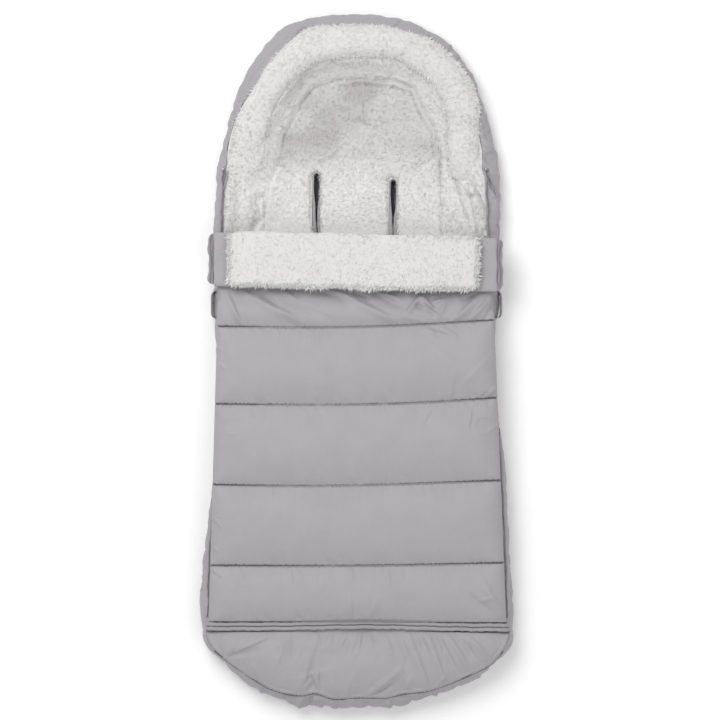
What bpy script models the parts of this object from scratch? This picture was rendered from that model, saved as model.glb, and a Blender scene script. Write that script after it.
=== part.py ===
"""A quilted stroller footmuff lying on its back: a padded tray with a sherpa lining and a hood,
a cover of five quilted channels with a turned-back cuff, two side zips and a foot zip.

Metres, +Z up from the floor, +Y towards the hood, +X to the right when seen from above.
The origin is at the middle of the footprint, on the floor.
"""
import math

import bmesh
import bpy
from mathutils import Vector

# Overall size
LENGTH = 1.000
WIDTH = 0.452
CLEAR = 0.0003

# Lengths along the footmuff, from the foot end to the hood, and the cover's five channels between them
FOOT_DEPTH = 0.124
FOLD_TO_NECK = 0.0995
HOOD_DEPTH = 0.2215
CHANNEL_SHARES = (0.147, 0.210, 0.212, 0.199, 0.232)

# Slant of the cover's bottom edge, its four seams and its fold, rising to the right
SEAM_TILTS = [math.radians(degrees) for degrees in (0, 0.6, 1.1, 1.5, 1.4, -1.15)]

# How much narrower the cover is at the fold than at the foot, and how far its fold lies to the left
COVER_TAPER = 0.0381
FOLD_SHIFT = 0.0034

# How far the side walls stand out beyond the cover, at even steps from the hinge to the neck
FOOT_BULGE = 0.0132
BULGES_LEFT = (FOOT_BULGE, 0.0100, 0.0025, 0.0025, 0.0035, 0.0080, 0.0075)
BULGES_RIGHT = (FOOT_BULGE, 0.0093, 0.0080, 0.0025, 0.0060, 0.0120, 0.0170)

# Back: mat, shell, batting and sherpa, from the floor up
MAT_THICK = 0.0012
SHELL_THICK = 0.0015
BATTING_THICK = 0.008
PILE = 0.011
WALL_PILE = 0.008
WALL_PILE_DROP = 0.002
SIDE_HEIGHT = 0.046
FOOT_HEIGHT = 0.052
HOOD_HEIGHT = 0.060
FOOT_RAMP = 0.025
HOOD_RAMP = 0.120

# Cross-section of the side walls
FLOOR_INSET = 0.030
TURN_INSET = 0.010
TURN_HEIGHT = 0.0025
LOW_INSET = 0.0015
LOW_HEIGHT = 0.0115
BULGE_HEIGHT = 0.024
UPPER_LEAN_SHARE = 0.35
UPPER_HEIGHT_SHARE = 0.8
LINING_FLOOR_INSET = 0.036
LINING_TURN_INSET = 0.013
LINING_TURN_RISE = 0.003
LINING_GAP = 0.0045
BATTING_INSET = 0.042

# Bolster sewn into the sherpa along both sides and round the head
BOLSTER_SEAM_INSET = 0.078
BOLSTER_SEAM_DEPTH = 0.0012
BOLSTER_INSET = 0.060
BOLSTER_RISE = 0.0035
BOLSTER_FOOT_INSET = 0.026
WALL_FOOT = 0.017

# Plan of the foot and hood ends
FOOT_ROUND_SHARE = 2.05
FOOT_SEAM_ROUND_SHARE = 2.4
HOOD_ROUND_SHARE = 2.2
FOOT_SEAM_SETBACK = 0.0133
HOOD_RIM_SETBACK = 0.0175
SIDE_STEPS = 12
FOOT_STEPS = 18
HOOD_STEPS = 22

# Mat under the back
MAT_WIDTH = 0.300
MAT_FOOT_GAP = 0.165
MAT_NECK_GAP = 0.006
MAT_CORNER = 0.030
CORNER_STEPS = 4

# Slots for the harness and the crotch strap
SLOT_WIDTH = 0.0084
SLOT_LENGTH = 0.190
SLOT_LEFT_X = -0.0598
SLOT_RIGHT_X = 0.0512
SLOT_LEFT_BELOW_NECK = 0.0075
SLOT_RIGHT_BELOW_NECK = 0.0175
CROTCH_SLOT_LENGTH = 0.060
CROTCH_SLOT_X = -0.004
CROTCH_BELOW_NECK = 0.330
BINDING = 0.0020
BINDING_LIP = 0.0008
SLOT_EASE = 0.0010
SLOT_STEPS = 6
OVERRUN = 0.005

# Zips: tapes stand on the side walls, coils stand on the tapes
TAPE_THICK = 0.0010
TAPE_HEIGHT = 0.0039
COIL_THICK = 0.0018
COIL_HEIGHT = 0.0018
ZIP_FOOT_GAP = 0.047
ZIP_NECK_GAP = 0.006
STOP_LENGTH = 0.004
STOP_THICK = 0.0040

# Sliders and pull tabs
SLIDER_LENGTH = 0.013
SLIDER_PLATE = 0.0013
SLIDER_BRIDGE = 0.0010
SLIDER_ROOM = 0.0010
SLIDER_SKIRT = 0.0033
SLIDER_CROWN = 0.0016
SLIDER_BELOW_FOLD = 0.008
PIN_RADIUS = 0.0007
PIN_STAND_OFF = 0.0024
PIN_SIDES = 10
LUG_LENGTH = 0.0026
LUG_THICK = 0.0010
LUG_EDGE = 0.0008
PULL_LENGTH = 0.022
PULL_THICK = 0.0012
PULL_HEIGHT = 0.0052
PULL_EYE = 0.0020
PULL_EASE = 0.0004

# Webbing loops on the side walls
LOOP_LENGTH = 0.039
LOOP_STAND_OFF = 0.0085
LOOP_THICK = 0.0012
LOOP_WEB = 0.010
LOOP_BELOW_FOLD = 0.099
LOOP_HEIGHT = 0.029
LOOP_ROUND = 0.0025

# Cover: sherpa below, padded panel above
COVER_FLANGE = 0.0023
COVER_PILE = 0.006
COVER_STEP_IN = 0.008
SEAM_THICK = 0.0077
CROWN = 0.010
TOP_CHANNEL_CROWN = 0.007
COVER_EDGE_DROP = 0.0045
COVER_EDGE_LIFT = 0.0016
COVER_OVERHANG = 0.0014
COVER_DRAW_IN = 0.0024
PANEL_STEPS_X = 16
PANEL_STEPS_Y = 8
EDGE_ROUND_SHARE = 8
CROWN_ROUND_SHARE = 4

# Cuff turned back over the top channel
CUFF_LENGTH = 0.0745
CUFF_LEFT_MARGIN = 0.0090
CUFF_RIGHT_MARGIN = 0.0100
CUFF_THICK = 0.005
CUFF_PILE = 0.013
CUFF_PILE_LEFT_GAP = 0.018
CUFF_PILE_RIGHT_GAP = 0.026
CUFF_PILE_FOLD_GAP = 0.002
CUFF_PILE_EDGE_OVER = 0.001
CUFF_EDGE_SHARE = 0.45
CUFF_TAPE_WIDTH = 0.0090
CUFF_TAPE_THICK = 0.0016
CUFF_TAPE_RISE = 0.0015

# Magnets in the third channel and in the cuff
MAGNET_RADIUS = 0.0095
MAGNET_THICK = 0.0022
MAGNET_SIDES = 20
MAGNET_EDGE_GAP = 0.0165
MAGNET_BELOW_SEAM = 0.0310
CUFF_MAGNET_EDGE_GAP = 0.0125
CUFF_MAGNET_ABOVE_EDGE = 0.0145

# Hood: roll, elastic, bolster
ROLL_WIDTH = 0.050
ROLL_HEIGHT = 0.044
ROLL_END_HEIGHT = 0.024
ROLL_END_GAP = 0.006
ROLL_INSET = 0.002
ROLL_SIDES = 12
ROLL_END_SHARES = (0.45, 0.80, 0.95)
ELASTIC_RADIUS = 0.0015
ELASTIC_INSET = 0.0042
ELASTIC_SIDES = 6
HOOD_BOLSTER_SEAM_INSET = 0.092
HOOD_BOLSTER_INSET = 0.080
HOOD_BOLSTER_RISE = 0.0065
HOOD_BOLSTER_EDGE_INSET = 0.060
HOOD_BOLSTER_EDGE_RISE = 0.003
HOOD_LINING_INSET = 0.012
HOOD_FADE = 0.070

# Foot zip under its two welts, foot flap and toe panel
WELT_TOP_DROP = 0.003
WELT_WIDTH = 0.0069
WELT_WEB = 0.0022
WELT_THICK = 0.0034
FLAP_LENGTH = 0.0297
FLAP_PANEL_THICK = 0.0055
FLAP_DROP = 0.004
FLAP_EDGE_DROP = 0.004
FLAP_STEPS_X = 14
TOE_SEAM_THICK = 0.0030
TOE_CROWN = 0.0045
TOE_LINING_THICK = 0.0035
TOE_RING_SHARES = (0.93, 0.80, 0.60, 0.35)
FOOT_COIL_REACH = 0.0018
FOOT_TAPE_THICK = 0.0008
FOOT_SWING = 0.0006
FOOT_SLIDER_LENGTH = 0.013
FOOT_SLIDER_PLATE = 0.0011
FOOT_SLIDER_TAB = 0.014
FOOT_SLIDER_END_GAP = 0.010
FOOT_STOP_LENGTH = 0.004

# Places along Y that the lengths fix
foot_end = -LENGTH / 2
hinge_y = foot_end + FOOT_DEPTH
neck_y = LENGTH / 2 - HOOD_DEPTH
fold_y = neck_y - FOLD_TO_NECK
channel_ends = [sum(CHANNEL_SHARES[:i]) / sum(CHANNEL_SHARES) for i in range(len(CHANNEL_SHARES) + 1)]
seam_ys = [hinge_y + (fold_y - hinge_y) * end for end in channel_ends]
cover_width = WIDTH - 2 * FOOT_BULGE
zip_foot_y = hinge_y + ZIP_FOOT_GAP
zip_neck_y = neck_y - ZIP_NECK_GAP

# Heights that the layers stack up to
shell_bottom = MAT_THICK + CLEAR
shell_floor = shell_bottom + SHELL_THICK
batting_bottom = shell_floor + CLEAR
batting_top = batting_bottom + BATTING_THICK
lining_bottom = batting_top + CLEAR
lining_top = lining_bottom + PILE
tape_bottom = SIDE_HEIGHT + CLEAR
tape_top = tape_bottom + TAPE_HEIGHT
coil_bottom = tape_top + CLEAR
coil_top = coil_bottom + COIL_HEIGHT
bridge_bottom = coil_top + CLEAR
bridge_top = bridge_bottom + SLIDER_BRIDGE
cover_coil_bottom = bridge_top + CLEAR
cover_coil_top = cover_coil_bottom + COIL_HEIGHT
cover_lining_top = cover_coil_top + COVER_FLANGE
cover_lining_bottom = cover_lining_top - COVER_PILE
cover_bottom = cover_lining_top + CLEAR
seam_top = cover_bottom + SEAM_THICK
fold_z = seam_top + CLEAR
cuff_bottom = fold_z + CLEAR
cuff_top = cuff_bottom + CUFF_THICK

# Line that the hood folds up on, just above the side walls
hood_pivot = (0, neck_y, tape_bottom)

LEFT, RIGHT = -1, 1
SIDE_NAMES = {LEFT: "left", RIGHT: "right"}
# Colour, roughness
LOOKS = {
    "shell": ((0.42, 0.41, 0.42, 1), 0.55),
    "sherpa": ((0.76, 0.76, 0.76, 1), 0.95),
    "batting": ((0.85, 0.85, 0.82, 1), 0.95),
    "trim": ((0.34, 0.33, 0.34, 1), 0.60),
    "mat": ((0.06, 0.06, 0.065, 1), 0.80),
    "coil": ((0.30, 0.30, 0.31, 1), 0.35),
    "metal": ((0.45, 0.45, 0.46, 1), 0.30),
    "elastic": ((0.10, 0.10, 0.10, 1), 0.85),
}
METALS = ("metal",)
SHARP_ANGLE = math.radians(35)


def clear_scene():
    """Empties the file of whatever it opened with."""
    for item in list(bpy.data.objects):
        bpy.data.objects.remove(item)


def finish_for(name, look):
    """A piece's own material, in the look of its kind of cloth, foam or metal."""
    material = bpy.data.materials.new(name)
    material.use_nodes = True
    shader = material.node_tree.nodes["Principled BSDF"]
    colour, roughness = LOOKS[look]
    shader.inputs["Base Color"].default_value = colour
    shader.inputs["Roughness"].default_value = roughness
    shader.inputs["Metallic"].default_value = 1.0 if look in METALS else 0.0
    return material


def place(name, bm, look, pivot=(0, 0, 0)):
    """Puts a finished mesh in the scene as one named piece with its origin on its pivot."""
    bmesh.ops.recalc_face_normals(bm, faces=bm.faces)
    bmesh.ops.translate(bm, verts=bm.verts, vec=-Vector(pivot))
    mesh = bpy.data.meshes.new(name)
    bm.to_mesh(mesh)
    bm.free()
    mesh.shade_smooth()
    mesh.set_sharp_from_angle(angle=SHARP_ANGLE)
    mesh.materials.append(finish_for(name, look))
    piece = bpy.data.objects.new(name, mesh)
    piece.location = pivot
    bpy.context.scene.collection.objects.link(piece)
    return piece


def skin(bm, rows, closed):
    """Joins rows of vertices with faces, each row being a ring or an open line."""
    for lower, upper in zip(rows, rows[1:]):
        count = len(lower)
        for i in range(count if closed else count - 1):
            j = (i + 1) % count
            bm.faces.new((lower[i], lower[j], upper[j], upper[i]))


def ring_solid(name, rings, look, pivot=(0, 0, 0)):
    """A closed body through a run of rings, with a flat face on the first and the last."""
    bm = bmesh.new()
    rows = [[bm.verts.new(point) for point in ring] for ring in rings]
    skin(bm, rows, closed=True)
    bm.faces.new(rows[0])
    bm.faces.new(rows[-1])
    return place(name, bm, look, pivot)


def tray_solid(name, levels, look, pivot=(0, 0, 0)):
    """A closed body from levels that each run along an open path with both ends in one plane."""
    bm = bmesh.new()
    rows = [[bm.verts.new(point) for point in level] for level in levels]
    skin(bm, rows, closed=False)
    bm.faces.new(rows[0])
    bm.faces.new(rows[-1])
    bm.faces.new([row[0] for row in rows] + [row[-1] for row in reversed(rows)])
    return place(name, bm, look, pivot)


def cut(piece, cutter):
    """Cuts one shape out of a piece."""
    cutter.hide_render = True
    cutter.display_type = "WIRE"
    boolean = piece.modifiers.new("cut", "BOOLEAN")
    boolean.operation = "DIFFERENCE"
    boolean.solver = "EXACT"
    boolean.object = cutter


def join(piece, other):
    """Welds a second shape on to a piece, which stays one body."""
    other.hide_render = True
    other.display_type = "WIRE"
    boolean = piece.modifiers.new("join", "BOOLEAN")
    boolean.operation = "UNION"
    boolean.solver = "EXACT"
    boolean.object = other


def smooth_step(value, start, end):
    """0 before start, 1 after end, and an even curve between them."""
    share = min(1, max(0, (value - start) / (end - start)))
    return share * share * (3 - 2 * share)


def edge_x(side, y):
    """The cover's edge and the zip over it: one straight line from the foot to the neck."""
    share = (y - hinge_y) / (fold_y - hinge_y)
    half = (cover_width - COVER_TAPER * share) / 2
    return side * half - FOLD_SHIFT * share


def zip_x(side, y):
    """Middle of the zip's tape, above the middle of the side wall's cloth."""
    return edge_x(side, y) - side * SHELL_THICK / 2


def bulge(side, y):
    """How far the side wall stands out beyond the cover's edge."""
    stations = BULGES_LEFT if side == LEFT else BULGES_RIGHT
    place_share = (y - hinge_y) / (neck_y - hinge_y) * (len(stations) - 1)
    first = min(len(stations) - 2, max(0, int(place_share)))
    blend = smooth_step(place_share - first, 0, 1)
    return stations[first] + (stations[first + 1] - stations[first]) * blend


def outline_x(side, y):
    """Outermost line of the side wall."""
    return edge_x(side, y) + side * bulge(side, y)


def arc_point(side_x, base_y, depth, roundness, angle):
    """A point on an end of the plan: a rounded arc through base_y + depth."""
    power = 2 / roundness
    across = abs(math.cos(angle)) ** power
    along = abs(math.sin(angle)) ** power
    return Vector((side_x * across, base_y + depth * along))


def side_stations(top):
    """Places along a side wall from its upper end, with one at each bend of its top edge."""
    level_end = zip_foot_y - STOP_LENGTH - 2 * CLEAR
    ramp_end = zip_foot_y - FOOT_RAMP
    even = [top + (level_end - top) * i / SIDE_STEPS for i in range(SIDE_STEPS + 1)]
    return even + [(level_end + ramp_end) / 2, ramp_end]


def plan_path(end):
    """Outline, rim and inward direction at each step of the path round one end.

    The foot's path starts at the neck on the left, and the hood's at the neck on the right.
    """
    pairs = []
    if end == "foot":
        stations = side_stations(neck_y - CLEAR / 2)
        for y in stations:
            pairs.append((Vector((outline_x(LEFT, y), y)), Vector((edge_x(LEFT, y), y))))
        for i in range(FOOT_STEPS + 1):
            angle = math.pi * i / FOOT_STEPS
            side = LEFT if angle < math.pi / 2 else RIGHT
            pairs.append((
                arc_point(outline_x(side, hinge_y), hinge_y, -FOOT_DEPTH, FOOT_ROUND_SHARE, angle),
                arc_point(edge_x(side, hinge_y), hinge_y, FOOT_SEAM_SETBACK - FOOT_DEPTH,
                          FOOT_SEAM_ROUND_SHARE, angle)))
        for y in reversed(stations):
            pairs.append((Vector((outline_x(RIGHT, y), y)), Vector((edge_x(RIGHT, y), y))))
    else:
        base = neck_y + CLEAR / 2
        depth = LENGTH / 2 - base
        for i in range(HOOD_STEPS + 1):
            angle = math.pi * i / HOOD_STEPS
            side = RIGHT if angle < math.pi / 2 else LEFT
            pairs.append((
                arc_point(outline_x(side, neck_y), base, depth, HOOD_ROUND_SHARE, angle),
                arc_point(edge_x(side, neck_y), base, depth - HOOD_RIM_SETBACK,
                          HOOD_ROUND_SHARE, angle)))
    path = []
    for i, (outer, rim) in enumerate(pairs):
        if i in (0, len(pairs) - 1):
            inward = Vector((1 if outer.x < 0 else -1, 0))
        else:
            along = (pairs[i + 1][0] - pairs[i - 1][0]).normalized()
            inward = Vector((-along.y, along.x))
        path.append((outer, rim, inward))
    return path


def rim_height(y):
    """Top of the side wall: level along the zips, higher round the foot and the hood."""
    ramp_start = zip_foot_y - STOP_LENGTH - 2 * CLEAR
    foot = (FOOT_HEIGHT - SIDE_HEIGHT) * (1 - smooth_step(y, zip_foot_y - FOOT_RAMP, ramp_start))
    hood = (HOOD_HEIGHT - SIDE_HEIGHT) * smooth_step(y, neck_y, neck_y + HOOD_RAMP)
    return SIDE_HEIGHT + foot + hood


def level(path, lean, inset, height):
    """One level of a tray: lean 0 is the outline and 1 the rim, moved inwards by inset."""
    points = []
    for outer, rim, inward in path:
        flat = outer.lerp(rim, lean) + inward * inset
        z = height(outer.y) if callable(height) else height
        points.append((flat.x, flat.y, z))
    return points


def shell_levels(path):
    """Outer cloth of the tray: up the outside of the wall and down its inside."""
    def upper(y):
        return rim_height(y) * UPPER_HEIGHT_SHARE
    outside = [
        level(path, 0, FLOOR_INSET, shell_bottom),
        level(path, 0, TURN_INSET, shell_bottom + TURN_HEIGHT),
        level(path, 0, LOW_INSET, shell_bottom + LOW_HEIGHT),
        level(path, 0, 0, BULGE_HEIGHT),
        level(path, UPPER_LEAN_SHARE, 0, upper),
        level(path, 1, 0, rim_height),
    ]
    inside = [
        level(path, 1, SHELL_THICK, rim_height),
        level(path, UPPER_LEAN_SHARE, SHELL_THICK, upper),
        level(path, 0, SHELL_THICK, BULGE_HEIGHT),
        level(path, 0, LOW_INSET + SHELL_THICK, shell_floor + LOW_HEIGHT),
        level(path, 0, TURN_INSET + SHELL_THICK, shell_floor + TURN_HEIGHT),
        level(path, 0, FLOOR_INSET, shell_floor),
    ]
    return outside + inside


def slot_plan():
    """Middle and length of each slot, and whether it runs along Y (harness) or along X (crotch)."""
    left_y = neck_y - SLOT_LEFT_BELOW_NECK - SLOT_LENGTH / 2
    right_y = neck_y - SLOT_RIGHT_BELOW_NECK - SLOT_LENGTH / 2
    return {
        "harness_slot_binding_left": (SLOT_LEFT_X, left_y, SLOT_LENGTH, True),
        "harness_slot_binding_right": (SLOT_RIGHT_X, right_y, SLOT_LENGTH, True),
        "crotch_slot_binding": (CROTCH_SLOT_X, neck_y - CROTCH_BELOW_NECK, CROTCH_SLOT_LENGTH, False),
    }


def stadium(x, y, length, width, upright, z):
    """A ring with two straight sides and two round ends."""
    radius = width / 2
    straight = (length - width) / 2
    ring = []
    for end in (1, -1):
        for i in range(SLOT_STEPS + 1):
            angle = math.pi * i / SLOT_STEPS + (0 if end == 1 else math.pi)
            across = radius * math.cos(angle)
            along = end * straight + radius * math.sin(angle)
            ring.append((x + across, y + along, z) if upright else (x + along, y - across, z))
    return ring


def cut_slots(piece, grow, bottom, top):
    """Cuts all three slots through one layer, each grown by the same amount."""
    for name, (x, y, length, upright) in slot_plan().items():
        rings = [stadium(x, y, length + 2 * grow, SLOT_WIDTH + 2 * grow, upright, z)
                 for z in (bottom - OVERRUN, top + OVERRUN)]
        cut(piece, ring_solid(f"{piece.name}_{name}_cutter", rings, "trim"))


def rounded_rectangle(low, high, radius, z):
    """A ring round a rectangle with round corners."""
    centres = [(high[0] - radius, high[1] - radius), (low[0] + radius, high[1] - radius),
               (low[0] + radius, low[1] + radius), (high[0] - radius, low[1] + radius)]
    ring = []
    for quarter, (x, y) in enumerate(centres):
        for i in range(CORNER_STEPS + 1):
            angle = math.pi / 2 * (quarter + i / CORNER_STEPS)
            ring.append((x + radius * math.cos(angle), y + radius * math.sin(angle), z))
    return ring


def build_back():
    """Mat, shell, batting, lining and the three bound slots."""
    low = (-MAT_WIDTH / 2, foot_end + MAT_FOOT_GAP)
    high = (MAT_WIDTH / 2, neck_y - MAT_NECK_GAP)
    rings = [rounded_rectangle(low, high, MAT_CORNER, z) for z in (0, MAT_THICK)]
    mat = ring_solid("grip_mat", rings, "mat")
    cut_slots(mat, SLOT_EASE, 0, MAT_THICK)

    path = plan_path("foot")
    shell = tray_solid("back_shell", shell_levels(path), "shell")
    cut_slots(shell, 0, shell_bottom, shell_floor)

    batting = tray_solid("back_batting", [level(path, 0, BATTING_INSET, z)
                                          for z in (batting_bottom, batting_top)], "batting")
    cut_slots(batting, BINDING + CLEAR, batting_bottom, batting_top)

    build_lining(path)

    top = lining_top + BINDING_LIP
    section = ((BINDING, batting_bottom), (BINDING, top), (0, top), (0, batting_bottom))
    for name, (x, y, length, upright) in slot_plan().items():
        rings = [stadium(x, y, length + 2 * grow, SLOT_WIDTH + 2 * grow, upright, z) for grow, z in section]
        tube_solid(name, rings, "trim")


def tube_solid(name, rings, look, pivot=(0, 0, 0)):
    """A closed body through rings whose last one joins on to the first."""
    bm = bmesh.new()
    rows = [[bm.verts.new(point) for point in ring] for ring in rings]
    skin(bm, rows + rows[:1], closed=True)
    return place(name, bm, look, pivot)


def build_lining(path):
    """Sherpa of the back: a slotted floor with bolsters, and a lining behind each side and the foot."""
    floor = tray_solid("back_lining", [
        level(path, 0, LINING_FLOOR_INSET, lining_bottom),
        level(path, 0, LINING_TURN_INSET, lining_bottom + LINING_TURN_RISE),
        level(path, 0, LINING_GAP, lining_top),
        level(path, 0, BOLSTER_FOOT_INSET, lining_top),
        level(path, 0, BOLSTER_INSET, lining_top + BOLSTER_RISE),
        level(path, 0, BOLSTER_SEAM_INSET, lining_top - BOLSTER_SEAM_DEPTH),
        level(path, 0, BOLSTER_SEAM_INSET + TURN_INSET, lining_top),
    ], "sherpa")
    cut_slots(floor, BINDING + CLEAR, lining_bottom, lining_top)

    corner = len(side_stations(neck_y)) - 1
    wall_lining("side_lining_left", path[:corner + 1], 0)
    wall_lining("foot_lining", path[corner:-corner], CLEAR)
    wall_lining("side_lining_right", path[-corner - 1:], 0)


def wall_lining(name, path, end_gap):
    """Sherpa behind one stretch of the side wall, standing on the floor lining."""
    def upper(y):
        return rim_height(y) * UPPER_HEIGHT_SHARE

    def top(y):
        return rim_height(y) - WALL_PILE_DROP
    behind = SHELL_THICK + CLEAR
    foot = lining_top + CLEAR
    levels = [
        level(path, 0, LINING_GAP, foot),
        level(path, UPPER_LEAN_SHARE, behind + SHELL_THICK, upper),
        level(path, 1, behind, top),
        level(path, 1, behind + WALL_PILE, top),
        level(path, UPPER_LEAN_SHARE, behind + SHELL_THICK + WALL_PILE, upper),
        level(path, 0, LINING_GAP + WALL_FOOT, foot),
    ]
    rings = [list(ring) for ring in zip(*levels)]
    for i in (0, -1):
        rings[i] = [(x, y - end_gap, z) for x, y, z in rings[i]]
    ring_solid(name, rings, "sherpa")


def build_hood():
    """Shell, batting, lining, sherpa roll and rim elastic of the hood."""
    path = plan_path("hood")
    tray_solid("hood_shell", shell_levels(path), "shell", hood_pivot)
    tray_solid("hood_batting", [level(path, 0, BATTING_INSET, z) for z in (batting_bottom, batting_top)],
               "batting", hood_pivot)

    def bolster(rise):
        return lambda y: lining_top + rise * smooth_step(y, neck_y, neck_y + HOOD_FADE)
    tray_solid("hood_lining", [
        level(path, 0, LINING_FLOOR_INSET, lining_bottom),
        level(path, 0, LINING_TURN_INSET, lining_bottom + LINING_TURN_RISE),
        level(path, 0, HOOD_LINING_INSET, lining_top),
        level(path, 0, HOOD_BOLSTER_EDGE_INSET - TURN_INSET, lining_top),
        level(path, 0, HOOD_BOLSTER_EDGE_INSET, bolster(HOOD_BOLSTER_EDGE_RISE)),
        level(path, 0, HOOD_BOLSTER_INSET, bolster(HOOD_BOLSTER_RISE)),
        level(path, 0, HOOD_BOLSTER_SEAM_INSET, lining_top - BOLSTER_SEAM_DEPTH),
        level(path, 0, HOOD_BOLSTER_SEAM_INSET + TURN_INSET, lining_top),
    ], "sherpa", hood_pivot)

    build_roll(path)
    build_elastic(path)


def build_roll(path):
    """The thick sherpa roll: oval rings along the rim, lower towards its two rounded ends."""
    half_width = ROLL_WIDTH / 2
    centres = [rim + inward * (half_width + ROLL_INSET) for outer, rim, inward in path]
    lowest = neck_y + ROLL_END_GAP
    kept = [i for i, centre in enumerate(centres) if centre.y > lowest + ROLL_END_GAP]
    ends = [Vector((centres[kept[0]].x, lowest)), Vector((centres[kept[-1]].x, lowest))]
    stations = [(ends[0], path[kept[0]][2])] + [(centres[i], path[i][2]) for i in kept]
    stations.append((ends[1], path[kept[-1]][2]))
    rings = []
    for number, (centre, inward) in enumerate(stations):
        rise = smooth_step(centre.y, neck_y, LENGTH / 2 - HOOD_RIM_SETBACK)
        half_height = (ROLL_END_HEIGHT + (ROLL_HEIGHT - ROLL_END_HEIGHT) * rise) / 2
        from_end = min(number, len(stations) - 1 - number)
        taper = ROLL_END_SHARES[from_end] if from_end < len(ROLL_END_SHARES) else 1
        ring = []
        for k in range(ROLL_SIDES):
            angle = 2 * math.pi * k / ROLL_SIDES
            across = centre + inward * (half_width * taper * math.cos(angle))
            z = lining_top + CLEAR + half_height + half_height * taper * math.sin(angle)
            ring.append((across.x, across.y, z))
        rings.append(ring)
    ring_solid("hood_roll", rings, "sherpa", hood_pivot)


def build_elastic(path):
    """Elastic in the hood's rim, inside the shell and behind the roll."""
    rings = []
    for outer, rim, inward in path[1:-1]:
        centre = outer.lerp(rim, UPPER_LEAN_SHARE) + inward * ELASTIC_INSET
        z = rim_height(outer.y) * UPPER_HEIGHT_SHARE
        ring = []
        for k in range(ELASTIC_SIDES):
            angle = 2 * math.pi * k / ELASTIC_SIDES
            across = centre + inward * (ELASTIC_RADIUS * math.cos(angle))
            ring.append((across.x, across.y, z + ELASTIC_RADIUS * math.sin(angle)))
        rings.append(ring)
    ring_solid("hood_elastic", rings, "elastic", hood_pivot)


def wall_strip(name, side, start, end, thick, bottom, top, look):
    """A straight strip that stands on the side wall, between two places along it."""
    rings = []
    for y in (start, end):
        x = zip_x(side, y)
        rings.append([(x - thick / 2, y, bottom), (x + thick / 2, y, bottom),
                      (x + thick / 2, y, top), (x - thick / 2, y, top)])
    return ring_solid(name, rings, look)


def build_side_zip(side):
    """The fixed half of one side zip, with its two stops."""
    word = SIDE_NAMES[side]
    wall_strip(f"side_zip_tape_{word}", side, zip_foot_y, zip_neck_y, TAPE_THICK,
               tape_bottom, tape_top, "trim")
    wall_strip(f"side_zip_coil_{word}", side, zip_foot_y, zip_neck_y, COIL_THICK,
               coil_bottom, coil_top, "coil")
    low = zip_foot_y - CLEAR
    wall_strip(f"side_zip_bottom_stop_{word}", side, low - STOP_LENGTH, low, STOP_THICK,
               tape_bottom, bridge_top, "metal")
    high = zip_neck_y + CLEAR
    wall_strip(f"side_zip_top_stop_{word}", side, high, high + STOP_LENGTH, STOP_THICK,
               tape_bottom, bridge_top, "metal")


def track_frame(side):
    """Direction of one side zip towards the foot, and the sideways direction out of the wall."""
    start = Vector((zip_x(side, fold_y), fold_y, 0))
    end = Vector((zip_x(side, hinge_y), hinge_y, 0))
    along = (end - start).normalized()
    outward = Vector((side, 0, 0))
    outward = (outward - along * outward.dot(along)).normalized()
    return along, outward


def turned_prism(name, origin, along, outward, profile, start, end, look):
    """A closed body whose outline, in (outward, Z), runs from start to end along a direction."""
    rings = []
    for distance in (start, end):
        base = origin + along * distance
        rings.append([tuple(base + outward * out + Vector((0, 0, z))) for out, z in profile])
    return ring_solid(name, rings, look, tuple(origin))


def slider_place(side):
    """Middle of a side slider at rest, just below the cover's fold."""
    y = fold_y + math.tan(SEAM_TILTS[-1]) * edge_x(side, fold_y) - SLIDER_BELOW_FOLD
    return Vector((zip_x(side, y), y, 0))


def pin_axis(side):
    """The upright pin that the pull tab turns on."""
    along, outward = track_frame(side)
    return slider_place(side) + outward * (COIL_THICK / 2 + SLIDER_ROOM + SLIDER_PLATE + PIN_STAND_OFF)


def round_bar(name, centre, radius, bottom, top, sides, look, pivot=(0, 0, 0)):
    """An upright bar with many sides."""
    rings = []
    for z in (bottom, top):
        rings.append([(centre.x + radius * math.cos(2 * math.pi * k / sides),
                       centre.y + radius * math.sin(2 * math.pi * k / sides), z) for k in range(sides)])
    return ring_solid(name, rings, look, pivot)


def build_slider(side):
    """A slider that wraps the fixed coil, and the pull tab on its upright pin."""
    word = SIDE_NAMES[side]
    origin = slider_place(side)
    along, outward = track_frame(side)
    inner = COIL_THICK / 2 + SLIDER_ROOM
    outer = inner + SLIDER_PLATE
    low = bridge_bottom - SLIDER_SKIRT - SLIDER_CROWN
    high = bridge_top + SLIDER_CROWN
    profile = [(-outer, low), (-inner, low), (-inner, bridge_bottom), (inner, bridge_bottom), (inner, low),
               (outer, low), (outer, high), (inner, high), (inner, bridge_top), (-inner, bridge_top),
               (-inner, high), (-outer, high)]
    slider = turned_prism(f"side_slider_{word}", origin, along, outward, profile,
                          -SLIDER_LENGTH / 2, SLIDER_LENGTH / 2, "metal")
    pin = pin_axis(side)
    reach = outer + PIN_STAND_OFF + PIN_RADIUS + LUG_EDGE
    for number, z in enumerate((low + LUG_EDGE, high - LUG_EDGE - LUG_THICK)):
        lug = [(inner + SLIDER_PLATE / 2, z), (reach, z), (reach, z + LUG_THICK),
               (inner + SLIDER_PLATE / 2, z + LUG_THICK)]
        join(slider, turned_prism(f"slider_lug_{word}_{number}", origin, along, outward, lug,
                                  -LUG_LENGTH / 2, LUG_LENGTH / 2, "metal"))
    join(slider, round_bar(f"slider_pin_{word}", pin, PIN_RADIUS, low + LUG_EDGE + LUG_THICK / 2,
                           high - LUG_EDGE - LUG_THICK / 2, PIN_SIDES, "metal"))
    build_pull(word, pin, along, outward, low + LUG_EDGE + LUG_THICK, high - LUG_EDGE - LUG_THICK)


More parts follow.
